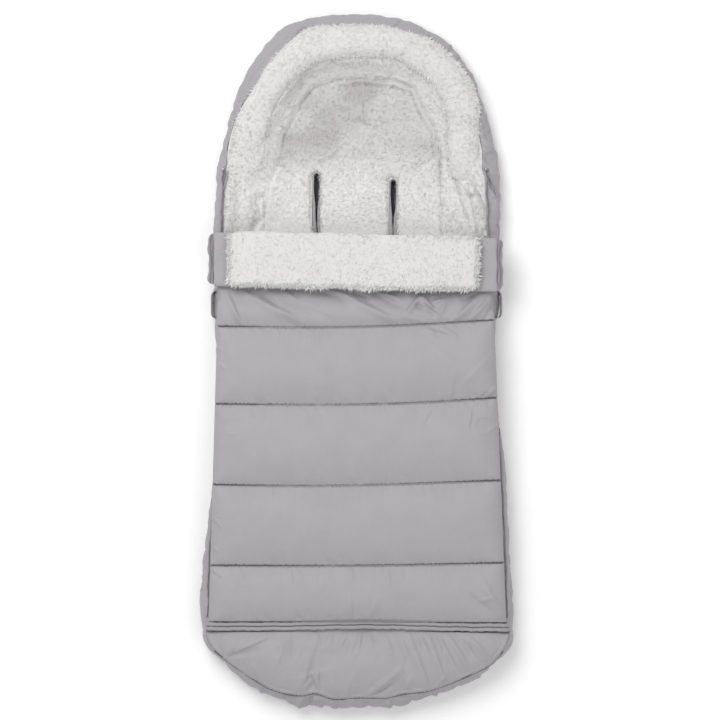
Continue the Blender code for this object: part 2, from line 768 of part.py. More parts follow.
def build_pull(word, pin, along, outward, bottom, top):
    """A flat pull tab with an eye round the pin, lying along the zip towards the foot."""
    middle = (bottom + top) / 2
    half_eye = (top - bottom) / 2 - PULL_EASE
    tab_half = PULL_HEIGHT / 2
    start = PIN_RADIUS + PULL_EASE
    outline = [(start, -half_eye), (PULL_EYE * 2, -half_eye), (PULL_EYE * 3, -tab_half),
               (PULL_LENGTH - PULL_EYE, -tab_half), (PULL_LENGTH, -tab_half + PULL_EYE / 2),
               (PULL_LENGTH, tab_half - PULL_EYE / 2), (PULL_LENGTH - PULL_EYE, tab_half),
               (PULL_EYE * 3, tab_half), (PULL_EYE * 2, half_eye), (start, half_eye)]
    rings = []
    for out in (-PULL_THICK / 2, PULL_THICK / 2):
        rings.append([tuple(pin + along * run + outward * out + Vector((0, 0, middle + z)))
                      for run, z in outline])
    pull = ring_solid(f"zip_pull_{word}", rings, "metal", tuple(pin))
    join(pull, round_bar(f"pull_eye_{word}", pin, PULL_EYE, middle - half_eye, middle + half_eye,
                         PIN_SIDES, "metal"))
    cut(pull, round_bar(f"pull_bore_{word}", pin, PIN_RADIUS + PULL_EASE, bottom - OVERRUN, top + OVERRUN,
                        PIN_SIDES, "metal"))


def wall_x(side, y, z):
    """Outer face of the side wall at a height between its widest line and its upper bend."""
    lean = UPPER_LEAN_SHARE * (z - BULGE_HEIGHT) / (SIDE_HEIGHT * UPPER_HEIGHT_SHARE - BULGE_HEIGHT)
    return outline_x(side, y) + (edge_x(side, y) - outline_x(side, y)) * lean


def build_loop(side):
    """A webbing loop sewn to the outside of the side wall."""
    word = SIDE_NAMES[side]
    middle = fold_y - LOOP_BELOW_FOLD
    ends = (middle - LOOP_LENGTH / 2, middle + LOOP_LENGTH / 2)
    near = max(abs(wall_x(side, end, LOOP_HEIGHT)) for end in ends) + CLEAR
    far = near + LOOP_STAND_OFF
    rings = []
    for grow, z in ((0, LOOP_HEIGHT), (0, LOOP_HEIGHT + LOOP_WEB),
                    (-LOOP_THICK, LOOP_HEIGHT + LOOP_WEB), (-LOOP_THICK, LOOP_HEIGHT)):
        low = (near - grow, middle - LOOP_LENGTH / 2 - grow)
        high = (far + grow, middle + LOOP_LENGTH / 2 + grow)
        ring = rounded_rectangle(low, high, LOOP_ROUND + grow, z)
        rings.append([(side * x, y, z_level) for x, y, z_level in ring])
    tube_solid(f"side_loop_{word}", rings, "trim")


def seam_line(index, x):
    """Y of one of the cover's six lines at a place across it."""
    return seam_ys[index] + math.tan(SEAM_TILTS[index]) * x


def cuff_edge_line(x):
    """Y of the cuff's free edge, in the same slant as the fold."""
    return seam_line(len(CHANNEL_SHARES), x) - CUFF_LENGTH - CUFF_THICK * CUFF_EDGE_SHARE - CLEAR


def panel_ring(lower, upper, share, crown):
    """Outline of a channel across the footmuff, at a share of the way between two lines."""
    puff = 1 - (2 * share - 1) ** 2

    def spot(x, z):
        return (x, lower(x) + (upper(x) - lower(x)) * share, z)
    middle_y = spot(0, 0)[1]
    left = edge_x(LEFT, middle_y) - COVER_OVERHANG + COVER_DRAW_IN * (1 - puff)
    right = edge_x(RIGHT, middle_y) + COVER_OVERHANG - COVER_DRAW_IN * (1 - puff)
    top = []
    for i in range(PANEL_STEPS_X + 1):
        across = -math.cos(math.pi * i / PANEL_STEPS_X)
        x = (left + right) / 2 + (right - left) / 2 * across
        round_off = abs(across) ** EDGE_ROUND_SHARE
        rise = crown * puff * (1 - abs(across) ** CROWN_ROUND_SHARE)
        top.append(spot(x, seam_top - COVER_EDGE_DROP * round_off + rise))
    step = COVER_OVERHANG + COVER_DRAW_IN
    return [spot(left, cover_bottom + COVER_EDGE_LIFT), spot(left + step, cover_bottom),
            spot(right - step, cover_bottom), spot(right, cover_bottom + COVER_EDGE_LIFT)] + top[::-1]


def panel_rings(index):
    """Rings of one channel from its lower seam to its upper one, flat where the cuff lies on it."""
    def lower(x):
        return seam_line(index, x) + CLEAR / 2

    def upper(x):
        return seam_line(index + 1, x) - CLEAR / 2
    steps = [i / PANEL_STEPS_Y for i in range(PANEL_STEPS_Y + 1)]
    if index < len(CHANNEL_SHARES) - 1:
        return [panel_ring(lower, upper, step, CROWN) for step in steps]
    rings = [panel_ring(lower, cuff_edge_line, step, TOP_CHANNEL_CROWN) for step in steps]
    return rings + [panel_ring(lower, upper, 1, 0)]


def magnet_spots():
    """Middles of the two magnets in the third channel."""
    y = seam_ys[3] - MAGNET_BELOW_SEAM
    return {side: Vector((edge_x(side, y) - side * MAGNET_EDGE_GAP, y)) for side in (LEFT, RIGHT)}


def build_cover():
    """Five padded panels, each over its own piece of sherpa lining with the zip's half along its edges."""
    for index in range(len(CHANNEL_SHARES)):
        number = index + 1
        pivot = (0, seam_ys[index], seam_top)
        panel = ring_solid(f"cover_panel_{number}", panel_rings(index), "shell", pivot)
        if number == 3:
            build_magnets(panel, pivot)
        ring_solid(f"cover_lining_{number}", [lining_ring(index, end) for end in (0, 1)], "sherpa", pivot)


def lining_ring(index, end):
    """Outline of a channel's lining at one end of the channel."""
    line = index + end
    inset = CLEAR / 2 if end == 0 else -CLEAR / 2

    def spot(x, z):
        return (x, seam_line(line, x) + inset, z)
    y = seam_ys[line]
    half_coil = COIL_THICK / 2
    ring = []
    for side in (LEFT, RIGHT):
        track = zip_x(side, y)
        step = edge_x(side, y) - side * COVER_STEP_IN
        inner, outer = track - side * half_coil, track + side * half_coil
        points = [(step, cover_lining_bottom), (step, cover_coil_top), (inner, cover_coil_top),
                  (inner, cover_coil_bottom), (outer, cover_coil_bottom), (outer, cover_lining_top)]
        ring += [spot(x, z) for x, z in (points[::-1] if side == RIGHT else points)]
    return ring


def build_magnets(panel, pivot):
    """Round magnets in pockets on the underside of a panel."""
    for side, spot in magnet_spots().items():
        word = SIDE_NAMES[side]
        top = cover_bottom + MAGNET_THICK
        pocket = round_bar(f"magnet_pocket_{word}", spot, MAGNET_RADIUS + CLEAR, cover_bottom - OVERRUN,
                           top + CLEAR, MAGNET_SIDES, "metal")
        cut(panel, pocket)
        round_bar(f"cover_magnet_{word}", spot, MAGNET_RADIUS, cover_bottom, top, MAGNET_SIDES,
                  "metal", pivot)


def cuff_point(x, below_fold, z):
    """A place on the cuff, measured down from the slanted fold line."""
    return (x, seam_line(len(CHANNEL_SHARES), x) - below_fold, z)


def build_cuff():
    """The cover's turned-back top: a padded panel under a sherpa band, two zip tapes and two magnets."""
    pivot = (0, fold_y, fold_z)
    left = edge_x(LEFT, fold_y) - CUFF_LEFT_MARGIN
    right = edge_x(RIGHT, fold_y) + CUFF_RIGHT_MARGIN
    edge = CUFF_THICK * CUFF_EDGE_SHARE
    profile = [(CLEAR, cuff_bottom), (CUFF_LENGTH, cuff_bottom), (CUFF_LENGTH + edge, cuff_bottom + edge),
               (CUFF_LENGTH, cuff_top), (CLEAR, cuff_top)]
    rings = [[cuff_point(x, down, z) for down, z in profile] for x in (left, right)]
    panel = ring_solid("cuff_panel", rings, "shell", pivot)

    build_cuff_sherpa(left + CUFF_PILE_LEFT_GAP, right - CUFF_PILE_RIGHT_GAP, pivot)
    for side, x in ((LEFT, left), (RIGHT, right)):
        word = SIDE_NAMES[side]
        near = x + side * CLEAR
        far = near + side * CUFF_TAPE_WIDTH
        bottom = cuff_bottom + CUFF_TAPE_RISE
        top = bottom + CUFF_TAPE_THICK
        rings = [[cuff_point(near, down, bottom), cuff_point(far, down, bottom),
                  cuff_point(far, down, top), cuff_point(near, down, top)]
                 for down in (CLEAR, CUFF_LENGTH)]
        ring_solid(f"cuff_zip_tape_{word}", rings, "trim", pivot)
        spot_x = x - side * CUFF_MAGNET_EDGE_GAP
        spot = Vector(cuff_point(spot_x, CUFF_LENGTH - CUFF_MAGNET_ABOVE_EDGE, 0))
        top = cuff_bottom + MAGNET_THICK
        cut(panel, round_bar(f"cuff_pocket_{word}", spot, MAGNET_RADIUS + CLEAR, cuff_bottom - OVERRUN,
                             top + CLEAR, MAGNET_SIDES, "metal"))
        round_bar(f"cuff_magnet_{word}", spot, MAGNET_RADIUS, cuff_bottom, top, MAGNET_SIDES,
                  "metal", pivot)


def build_cuff_sherpa(left, right, pivot):
    """A crowned band of sherpa with rounded ends, on top of the cuff."""
    steps_x, steps_y = PANEL_STEPS_X, PANEL_STEPS_Y
    bottom = cuff_top + CLEAR
    length = CUFF_LENGTH + CUFF_PILE_EDGE_OVER - CUFF_PILE_FOLD_GAP
    rings = []
    for i in range(steps_x + 1):
        across = -math.cos(math.pi * i / steps_x)
        x = (left + right) / 2 + (right - left) / 2 * across
        ring = [cuff_point(x, CUFF_PILE_FOLD_GAP, bottom)]
        ring.append(cuff_point(x, CUFF_PILE_FOLD_GAP + length, bottom))
        end_round = 1 - abs(across) ** EDGE_ROUND_SHARE
        for j in range(steps_y + 1):
            share = math.cos(math.pi * j / steps_y)
            round_off = 1 - abs(share) ** CROWN_ROUND_SHARE
            low_share = CUFF_EDGE_SHARE / 2
            end_share = low_share + (1 - low_share) * end_round
            z = bottom + CUFF_PILE * (low_share + (1 - low_share) * round_off * end_share)
            ring.append(cuff_point(x, CUFF_PILE_FOLD_GAP + length * (1 + share) / 2, z))
        rings.append(ring)
    ring_solid("cuff_sherpa", rings, "sherpa", pivot)


# Places along Y in the foot, from the hinge towards the foot end
band_start = hinge_y - CLEAR
welt_meet = band_start - WELT_WIDTH - CLEAR / 2
flap_start = welt_meet - CLEAR / 2 - WELT_WIDTH
flap_hinge_y = flap_start - FLAP_LENGTH
welt_top = seam_top - WELT_TOP_DROP
flap_hinge_z = seam_top - FLAP_DROP
foot_coil_bottom = bridge_top + SLIDER_CROWN
foot_coil_top = foot_coil_bottom + COIL_HEIGHT


def welt_profile(direction):
    """Outline of a welt in (Y, Z): a web, a lip that hides the zip, and a thin tape under the lip."""
    start = band_start if direction < 0 else flap_start
    web = start + direction * WELT_WEB
    lip = start + direction * WELT_WIDTH
    bottom = FOOT_HEIGHT + CLEAR
    lip_bottom = welt_top - WELT_THICK
    swing = FOOT_SWING if direction > 0 else 0
    tape_end = welt_meet - direction * (SLIDER_BRIDGE / 2 + CLEAR + swing + FOOT_COIL_REACH + CLEAR)
    tape_middle = (foot_coil_bottom + foot_coil_top) / 2
    return [(start, bottom), (web, bottom), (web, tape_middle - FOOT_TAPE_THICK / 2),
            (tape_end, tape_middle - FOOT_TAPE_THICK / 2), (tape_end, tape_middle + FOOT_TAPE_THICK / 2),
            (web, tape_middle + FOOT_TAPE_THICK / 2), (web, lip_bottom), (lip, lip_bottom),
            (lip, welt_top - WELT_THICK / 3), (lip - direction * WELT_THICK / 3, welt_top),
            (start + direction * WELT_THICK / 3, welt_top), (start, welt_top - WELT_THICK / 3)]


def cross_bar(name, profile, left, right, look, pivot=(0, 0, 0)):
    """A body with one outline in (Y, Z) all the way across."""
    rings = [[(x, y, z) for y, z in profile] for x in (left, right)]
    return ring_solid(name, rings, look, pivot)


def box_profile(y_near, y_far, bottom, top):
    """A plain rectangle in (Y, Z)."""
    return [(y_near, bottom), (y_far, bottom), (y_far, top), (y_near, top)]


def seam_half_width(y):
    """Half the width of the foot panel at a place along it."""
    depth = FOOT_DEPTH - FOOT_SEAM_SETBACK
    share = min(1, (hinge_y - y) / depth)
    return cover_width / 2 * (1 - share ** FOOT_SEAM_ROUND_SHARE) ** (1 / FOOT_SEAM_ROUND_SHARE)


def build_foot_zip():
    """Both welts, both coils, the two stops and the slider."""
    pivot = (0, flap_hinge_y, flap_hinge_z)
    half = seam_half_width(flap_start)
    cross_bar("foot_zip_upper_welt", welt_profile(-1), -half, half, "shell")
    cross_bar("foot_zip_lower_welt", welt_profile(1), -half, half, "shell", pivot)
    coil_half = half - FOOT_STOP_LENGTH - CLEAR
    near = welt_meet + SLIDER_BRIDGE / 2 + CLEAR
    upper_coil = box_profile(near, near + FOOT_COIL_REACH, foot_coil_bottom, foot_coil_top)
    cross_bar("foot_zip_upper_coil", upper_coil, -coil_half, coil_half, "coil")
    far = welt_meet - SLIDER_BRIDGE / 2 - CLEAR - FOOT_SWING
    lower_coil = box_profile(far, far - FOOT_COIL_REACH, foot_coil_bottom, foot_coil_top)
    cross_bar("foot_zip_lower_coil", lower_coil, -coil_half, coil_half, "coil", pivot)
    for side in (LEFT, RIGHT):
        inner = side * (coil_half + CLEAR)
        outer = side * half
        cross_bar(f"foot_zip_stop_{SIDE_NAMES[side]}",
                  box_profile(near, near + FOOT_COIL_REACH, FOOT_HEIGHT + CLEAR, foot_coil_top),
                  inner, outer, "metal")
    build_foot_slider(coil_half, near)


def build_foot_slider(coil_half, near):
    """A slider round the upper coil, under the welts, with a short flat tab towards the middle."""
    plate = FOOT_SLIDER_PLATE
    low = foot_coil_bottom - CLEAR
    high = foot_coil_top + CLEAR
    back = near + FOOT_COIL_REACH
    front = welt_meet - SLIDER_BRIDGE / 2
    profile = [(front, low - plate), (back, low - plate), (back, low), (near - CLEAR, low),
               (near - CLEAR, high), (back, high), (back, high + plate), (front, high + plate)]
    end = coil_half - FOOT_SLIDER_END_GAP
    pivot = (end - FOOT_SLIDER_LENGTH / 2, welt_meet, low)
    slider = cross_bar("foot_slider", profile, end - FOOT_SLIDER_LENGTH, end, "metal", pivot)
    tab = box_profile(front, back, high + plate / 4, high + plate * 3 / 4)
    join(slider, cross_bar("foot_slider_tab", tab, end - FOOT_SLIDER_LENGTH - FOOT_SLIDER_TAB,
                           end - FOOT_SLIDER_LENGTH / 2, "metal"))


def foot_top(across):
    """Height of the foot panel's outer face at a share of its half width."""
    return flap_hinge_z - FLAP_EDGE_DROP * abs(across) ** EDGE_ROUND_SHARE


def build_foot_flap():
    """The strip below the foot zip, which turns back over the toe when the zip is open."""
    pivot = (0, flap_hinge_y, flap_hinge_z)
    start, end = flap_start - CLEAR, flap_hinge_y + CLEAR / 2
    bottom = FOOT_HEIGHT + TOE_LINING_THICK + 2 * CLEAR
    rings = []
    for y in (start, end):
        half = seam_half_width(y)
        ring = [(-half, y, bottom), (half, y, bottom)]
        for i in range(FLAP_STEPS_X + 1):
            across = math.cos(math.pi * i / FLAP_STEPS_X)
            ring.append((half * across, y, foot_top(across)))
        rings.append(ring)
    ring_solid("foot_flap", rings, "shell", pivot)
    low = FOOT_HEIGHT + CLEAR
    rings = []
    for y in (start, end):
        half = seam_half_width(y)
        rings.append([(-half, y, low), (half, y, low), (half, y, low + TOE_LINING_THICK),
                      (-half, y, low + TOE_LINING_THICK)])
    ring_solid("foot_flap_lining", rings, "sherpa", pivot)


def toe_arc():
    """Plan of the toe panel's curved seam, from the flap's hinge line round to the other end of it."""
    depth = FOOT_DEPTH - FOOT_SEAM_SETBACK
    start_share = (hinge_y - flap_hinge_y) / depth
    start_angle = math.asin(start_share ** (FOOT_SEAM_ROUND_SHARE / 2))
    arc = []
    for i in range(FOOT_STEPS + 1):
        angle = start_angle + (math.pi - 2 * start_angle) * i / FOOT_STEPS
        side = LEFT if angle < math.pi / 2 else RIGHT
        point = arc_point(side * cover_width / 2, hinge_y, -depth, FOOT_SEAM_ROUND_SHARE, angle)
        arc.append(point)
    for point in (arc[0], arc[-1]):
        point.y = flap_hinge_y - CLEAR / 2
    return arc


def build_toe():
    """The toe panel: a low dome from the flap's hinge line down to the curved seam, and its lining."""
    arc = toe_arc()
    centre = Vector((0, flap_hinge_y - CLEAR / 2))
    lining_low = FOOT_HEIGHT + CLEAR
    panel_low = lining_low + TOE_LINING_THICK + CLEAR
    bm = bmesh.new()

    def row(share, z):
        height = z if callable(z) else lambda point: z
        points = [centre.lerp(point, share) for point in arc]
        return [bm.verts.new((point.x, point.y, height(point))) for point in points]

    def dome(share):
        def height(point):
            edge = panel_low + TOE_SEAM_THICK
            across = point.x / arc[-1].x
            depth_share = (centre.y - point.y) / (centre.y - min(p.y for p in arc))
            puff = TOE_CROWN * 4 * depth_share * (1 - depth_share) * (1 - across ** 2)
            return edge + (foot_top(0) - edge) * (1 - share ** 4) + puff
        return height
    rows = [row(1, panel_low), row(1, panel_low + TOE_SEAM_THICK)]
    rows += [row(share, dome(share)) for share in TOE_RING_SHARES]
    skin(bm, rows, closed=False)
    tip = bm.verts.new((centre.x, centre.y, foot_top(0)))
    last = rows[-1]
    for i in range(len(last) - 1):
        bm.faces.new((last[i], last[i + 1], tip))
    bm.faces.new(rows[0])
    bm.faces.new([r[0] for r in rows] + [tip] + [r[-1] for r in reversed(rows)])
    place("toe_panel", bm, "shell")
    rings = [[(point.x, point.y, z) for point in arc] for z in (lining_low, lining_low + TOE_LINING_THICK)]
    ring_solid("toe_lining", rings, "sherpa")


clear_scene()
build_back()
build_hood()
for zip_side in (LEFT, RIGHT):
    build_side_zip(zip_side)
    build_slider(zip_side)
    build_loop(zip_side)
build_cover()
build_cuff()
build_foot_zip()
build_foot_flap()
build_toe()
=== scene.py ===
"""Stroller footmuff, dressed: taffeta shell, sherpa pile, quilted cover, zips, webbing and binding."""
import math

import bpy
import bmesh
import numpy as np
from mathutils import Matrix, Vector, kdtree


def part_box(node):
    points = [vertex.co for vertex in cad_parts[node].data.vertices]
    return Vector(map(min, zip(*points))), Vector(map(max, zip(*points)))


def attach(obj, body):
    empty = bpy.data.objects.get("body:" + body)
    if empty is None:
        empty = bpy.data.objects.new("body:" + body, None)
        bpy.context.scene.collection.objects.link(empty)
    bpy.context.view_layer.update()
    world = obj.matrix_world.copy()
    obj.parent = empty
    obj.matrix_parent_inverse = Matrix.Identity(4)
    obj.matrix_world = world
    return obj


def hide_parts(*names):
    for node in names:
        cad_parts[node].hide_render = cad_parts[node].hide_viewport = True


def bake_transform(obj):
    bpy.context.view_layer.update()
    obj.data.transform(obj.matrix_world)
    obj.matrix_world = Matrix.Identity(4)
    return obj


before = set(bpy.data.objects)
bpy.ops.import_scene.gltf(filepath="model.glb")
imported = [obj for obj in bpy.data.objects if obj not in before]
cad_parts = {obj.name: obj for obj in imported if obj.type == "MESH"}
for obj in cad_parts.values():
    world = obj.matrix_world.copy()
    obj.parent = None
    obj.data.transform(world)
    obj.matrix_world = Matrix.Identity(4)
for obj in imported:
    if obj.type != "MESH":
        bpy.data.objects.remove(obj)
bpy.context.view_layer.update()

# Places along the footmuff, in metres, as the frame has them
HINGE_Y, FOLD_Y, NECK_Y = -0.376, 0.179, 0.2785
SEAM_YS = [HINGE_Y + (FOLD_Y - HINGE_Y) * share for share in (0, 0.147, 0.357, 0.569, 0.768, 1)]
SEAM_TILTS = [math.radians(degrees) for degrees in (0, 0.6, 1.1, 1.5, 1.4, -1.15)]
SEAM_Z, COVER_Z = 0.0660, 0.0583
FLAP_Y, FLAP_START_Y = -0.4201, -0.3907
PILE_Z = 0.0236
LEFT, RIGHT = -1, 1
SIDES = ((LEFT, "left"), (RIGHT, "right"))
RIM_Z, WALL_Z = 0.0462, 0.024  # the side wall's top, and where it starts to turn under
ZIP_INSET, TOOTH_PITCH, TOOTH_SIZE = 0.00075, 0.0025, 0.00085
PX = 0.001442  # one pixel of the photograph, in metres


def from_photo(points):
    """Places measured on the photograph, in pixels, as metres in the frame."""
    return np.array([((x - 357.5) * PX, (360 - y) * PX) for x, y in points])


def edge_x(side, y):
    """The cover's edge, over the zip."""
    share = (y - HINGE_Y) / (FOLD_Y - HINGE_Y)
    return side * (0.4256 - 0.0381 * share) / 2 - 0.0034 * share


def seam_line(index, x):
    """A seam of the cover as it is cut, on one straight line."""
    return SEAM_YS[index] + math.tan(SEAM_TILTS[index]) * x


SEAM_STATIONS = (225, 260, 300, 340, 380, 420, 460, 490)
SEAM_PX = {1: (565, 565, 565.5, 565.5, 564.7, 564.3, 563.5, 562.5),
           2: (484.5, 485.5, 485.5, 485.5, 484.5, 483.5, 481.5, 480.5),
           3: (404, 404.5, 405, 404.7, 404.2, 402.5, 400.5, 398),
           4: (326.5, 327.5, 327.6, 327.5, 326.5, 325, 322, 320.5)}
SEAM_CURVES = {index: np.polyfit(np.array(SEAM_STATIONS) / 100, pixels, 4) for index, pixels in SEAM_PX.items()}


def lip_bow(x):
    """The rise of the foot zip's line in its middle, and its fall at the right."""
    x = np.asarray(x, float)
    return 0.0030 * np.exp(-((x - 0.01) / 0.085) ** 2) - 0.0017 * smooth(x, 0.05, 0.20)


def cover_seam(index, x):
    """A seam of the cover as it is sewn, a little off its straight line, and uneven at each stitch."""
    x = np.asarray(x, float)
    if index == 0:
        line = HINGE_Y + 0.0004 + lip_bow(x) * 0.8
    elif index == 5:
        return seam_line(5, x) - 0.0772
    else:
        line = (360 - np.polyval(SEAM_CURVES[index], np.clip(x / PX + 357.5, 212, 503) / 100)) * PX
    return line + 0.00022 * np.sin(x * 1950 + 3 * np.sin(x * 140)) + 0.0002 * np.sin(x * 610 + index)


# Smooth random fields and distances, all on arrays of points

def smooth(value, start, end):
    """From 0 at start to 1 at end, level at both."""
    share = np.clip((value - start) / (end - start), 0, 1)
    return share * share * (3 - 2 * share)


def scatter(cells, seed):
    """A fixed random number from -1 to 1 for each cell of a lattice."""
    n = cells[:, 0] * 374761393 + cells[:, 1] * 668265263 + cells[:, 2] * 1274126177 + seed * 69069
    n = (n ^ (n >> 13)) * 1103515245
    n = n ^ (n >> 16)
    return (n & 0xFFFF) / 32767.5 - 1


def swell(points, size, seed):
    """Soft random hills and hollows from -1 to 1, about size metres across."""
    places = points / size + seed * 7.31
    cells = np.floor(places).astype(np.int64)
    part = places - cells
    part = part * part * part * (part * (part * 6 - 15) + 10)
    total = np.zeros(len(points))
    for x in (0, 1):
        for y in (0, 1):
            for z in (0, 1):
                weight = (part[:, 0] if x else 1 - part[:, 0]) * (part[:, 1] if y else 1 - part[:, 1])
                weight = weight * (part[:, 2] if z else 1 - part[:, 2])
                total += weight * scatter(cells + np.array((x, y, z)), seed)
    return total


def knots(points, size, seed):
    """Rounded tufts of pile, about size metres apart: 1 at the middle of each, 0 between them."""
    places = points / size + seed * 3.17
    cells = np.floor(places).astype(np.int64)
    best = np.full(len(points), 9.0)
    for x in (-1, 0, 1):
        for y in (-1, 0, 1):
            for z in (-1, 0, 1):
                near = cells + np.array((x, y, z))
                spot = near + 0.5 + 0.42 * np.stack([scatter(near, seed + k) for k in (11, 23, 37)], 1)
                best = np.minimum(best, ((spot - places) ** 2).sum(1))
    return np.clip(1 - np.sqrt(best), 0, 1)


def pile(points, amount, seed):
    """Height of curly sherpa over its backing, in metres."""
    warp = np.stack([swell(points, 0.009, seed + k) for k in (1, 2, 3)], 1) * 0.0022
    curls = knots(points + warp, 0.0052, seed) * 0.0011 + knots(points + warp, 0.0033, seed + 5) * 0.0005
    return amount * (curls + swell(points, 0.016, seed + 9) * 0.0008 - 0.0007)


def segment_distance(points, start, end):
    """Distance to one straight line between two places, and the share of the way along it."""
    along = end - start
    share = np.clip(((points - start) @ along) / max(along @ along, 1e-12), 0, 1)
    gap = points - start - share[:, None] * along
    return np.sqrt((gap * gap).sum(1)), share


def line_distance(points, line):
    """Distance to a bent line."""
    best = np.full(len(points), 9.0)
    for start, end in zip(line, line[1:]):
        best = np.minimum(best, segment_distance(points, start, end)[0])
    return best


def inside_distance(points, outline):
    """Distance to a closed outline, above zero inside it and below zero outside."""
    best = line_distance(points, np.vstack([outline, outline[:1]]))
    crossings = np.zeros(len(points), bool)
    for (x0, y0), (x1, y1) in zip(outline, np.roll(outline, -1, 0)):
        if y0 == y1:
            continue
        spans = (y0 > points[:, 1]) != (y1 > points[:, 1])
        x = x0 + (points[:, 1] - y0) / (y1 - y0) * (x1 - x0)
        crossings ^= spans & (points[:, 0] < x)
    return np.where(crossings, best, -best)


def creases(points, lines, narrow=1.0):
    """Folds pressed into cloth. Each runs between two places in pixels, and has a height, above zero for a
    ridge, and the width of its steeper flank, both in tenths of a millimetre."""
    total = np.zeros(len(points))
    for x0, y0, x1, y1, tall, wide in lines:
        height, width = tall / 10000, wide / 10000
        ends = from_photo(((x0, y0), (x1, y1)))
        gap, share = segment_distance(points[:, :2], ends[0], ends[1])
        along = (ends[1] - ends[0]) / math.dist(ends[0], ends[1])
        off = points[:, :2] - ends[0]
        lean = (along[0] * off[:, 1] - along[1] * off[:, 0]) / (gap + 1e-6)
        spread = width * narrow * (1.5 - 0.6 * lean)
        total += height * np.exp(-(gap / spread) ** 2) * (np.sin(math.pi * (0.06 + 0.88 * share)) ** 0.7)
    return total


def full_turn(count):
    return np.linspace(0, 2 * math.pi, count, endpoint=False)


def squared(wave, power):
    """A circle's sine or cosine pushed out towards a square's, the more the lower the power."""
    return np.sign(wave) * np.abs(wave) ** power


def round_end(gap, radius, least):
    """How full a stuffed piece is at a gap from its end: least at the very end, 1 from radius on."""
    return math.sqrt(max(least, 1 - max(0, 1 - gap / radius) ** 2))


def unit(vectors, least=0.0):
    return vectors / (np.sqrt((vectors ** 2).sum(1))[:, None] + least)


def inward_of(line):
    """The direction into a closed anticlockwise line at each of its points."""
    after = unit(np.roll(line, -1, 0) - np.roll(line, 1, 0))
    return np.stack([-after[:, 1], after[:, 0]], 1)


def lengths_along(line):
    return np.r_[0, np.cumsum(np.sqrt((np.diff(line, axis=0) ** 2).sum(1)))]


def soft_weights(reach):
    """Steps along a line and their weights, to soften it over reach points."""
    offsets = np.arange(-int(3 * reach) - 1, int(3 * reach) + 2)
    return offsets, np.exp(-0.5 * (offsets / reach) ** 2)


def soften(line, reach):
    """The same closed line with its corners rounded, and with its points kept in step."""
    offsets, weights = soft_weights(reach)
    return sum(w * np.roll(line, -o, 0) for o, w in zip(offsets, weights)) / weights.sum()


def closed_curve(points, count, softness):
    """A closed line through places, evenly spaced, with its corners rounded by softness metres."""
    points = np.asarray(points, float)
    loop = np.vstack([points, points[:1]])
    lengths = lengths_along(loop)
    even = np.linspace(0, lengths[-1], count, endpoint=False)
    curve = np.stack([np.interp(even, lengths, loop[:, k]) for k in (0, 1)], 1)
    return soften(curve, softness / (lengths[-1] / count))


def open_curve(points, count, softness):
    """An open line through places, evenly spaced and softened, with its ends kept."""
    points = np.asarray(points, float)
    lengths = lengths_along(points)
    even = np.linspace(0, lengths[-1], count)
    curve = np.stack([np.interp(even, lengths, points[:, k]) for k in range(points.shape[1])], 1)
    offsets, weights = soft_weights(softness / (lengths[-1] / count))
    pad = len(offsets) // 2
    before = 2 * curve[0] - curve[pad:0:-1]
    after = 2 * curve[-1] - curve[-2:-pad - 2:-1]
    longer = np.vstack([before, curve, after])
    return sum(w * longer[pad + o:pad + o + count] for o, w in zip(offsets, weights)) / weights.sum()


# Meshes

def clear_selection():
    bpy.ops.object.select_all(action="DESELECT")


def new_grid(name, columns, rows):
    """A flat grid of columns by rows of vertices, to be shaped."""
    clear_selection()
    bpy.ops.mesh.primitive_grid_add(x_subdivisions=columns - 1, y_subdivisions=rows - 1, size=1)
    piece = bpy.context.object
    piece.name = name
    piece.data.name = name
    return piece


def points_of(piece):
    points = np.empty(len(piece.data.vertices) * 3)
    piece.data.vertices.foreach_get("co", points)
    return points.reshape(-1, 3)


def set_points(piece, points):
    piece.data.vertices.foreach_set("co", np.ascontiguousarray(points, float).ravel())
    piece.data.update()


def normals_of(piece):
    normals = np.empty(len(piece.data.vertices) * 3)
    piece.data.update()
    piece.data.vertices.foreach_get("normal", normals)
    return normals.reshape(-1, 3)


def shape_grid(name, rows, wrap=False, caps=False):
    """A cloth surface through rows of points. wrap joins each row's ends, and caps closes both ends."""
    rows = np.asarray(rows, float)
    count_rows, count_columns = rows.shape[:2]
    if wrap:
        rows = np.concatenate([rows, rows[:, :1]], 1)
        count_columns += 1
    piece = new_grid(name, count_columns, count_rows)
    set_points(piece, rows.reshape(-1, 3))
    across = np.sqrt((np.diff(rows, axis=1) ** 2).sum(2)).mean(0)
    along = np.sqrt((np.diff(rows, axis=0) ** 2).sum(2)).mean(1)
    u, v = np.meshgrid(np.r_[0, np.cumsum(across)], np.r_[0, np.cumsum(along)])
    lay_weave(piece, np.stack([u.ravel(), v.ravel()], 1))
    bm = bmesh.new()
    bm.from_mesh(piece.data)
    if wrap:
        bmesh.ops.remove_doubles(bm, verts=bm.verts, dist=1e-6)
    if caps:
        bmesh.ops.holes_fill(bm, edges=bm.edges, sides=0)
    if wrap or caps:
        bmesh.ops.recalc_face_normals(bm, faces=bm.faces)
    bm.to_mesh(piece.data)
    bm.free()
    piece.data.shade_smooth()
    return piece


def lay_weave(piece, places):
    """The cloth's own coordinates in metres, which its weave follows."""
    layer = piece.data.uv_layers.active or piece.data.uv_layers.new(name="weave")
    corners = np.empty(len(piece.data.loops), np.int64)
    piece.data.loops.foreach_get("vertex_index", corners)
    layer.data.foreach_set("uv", places[corners].ravel())


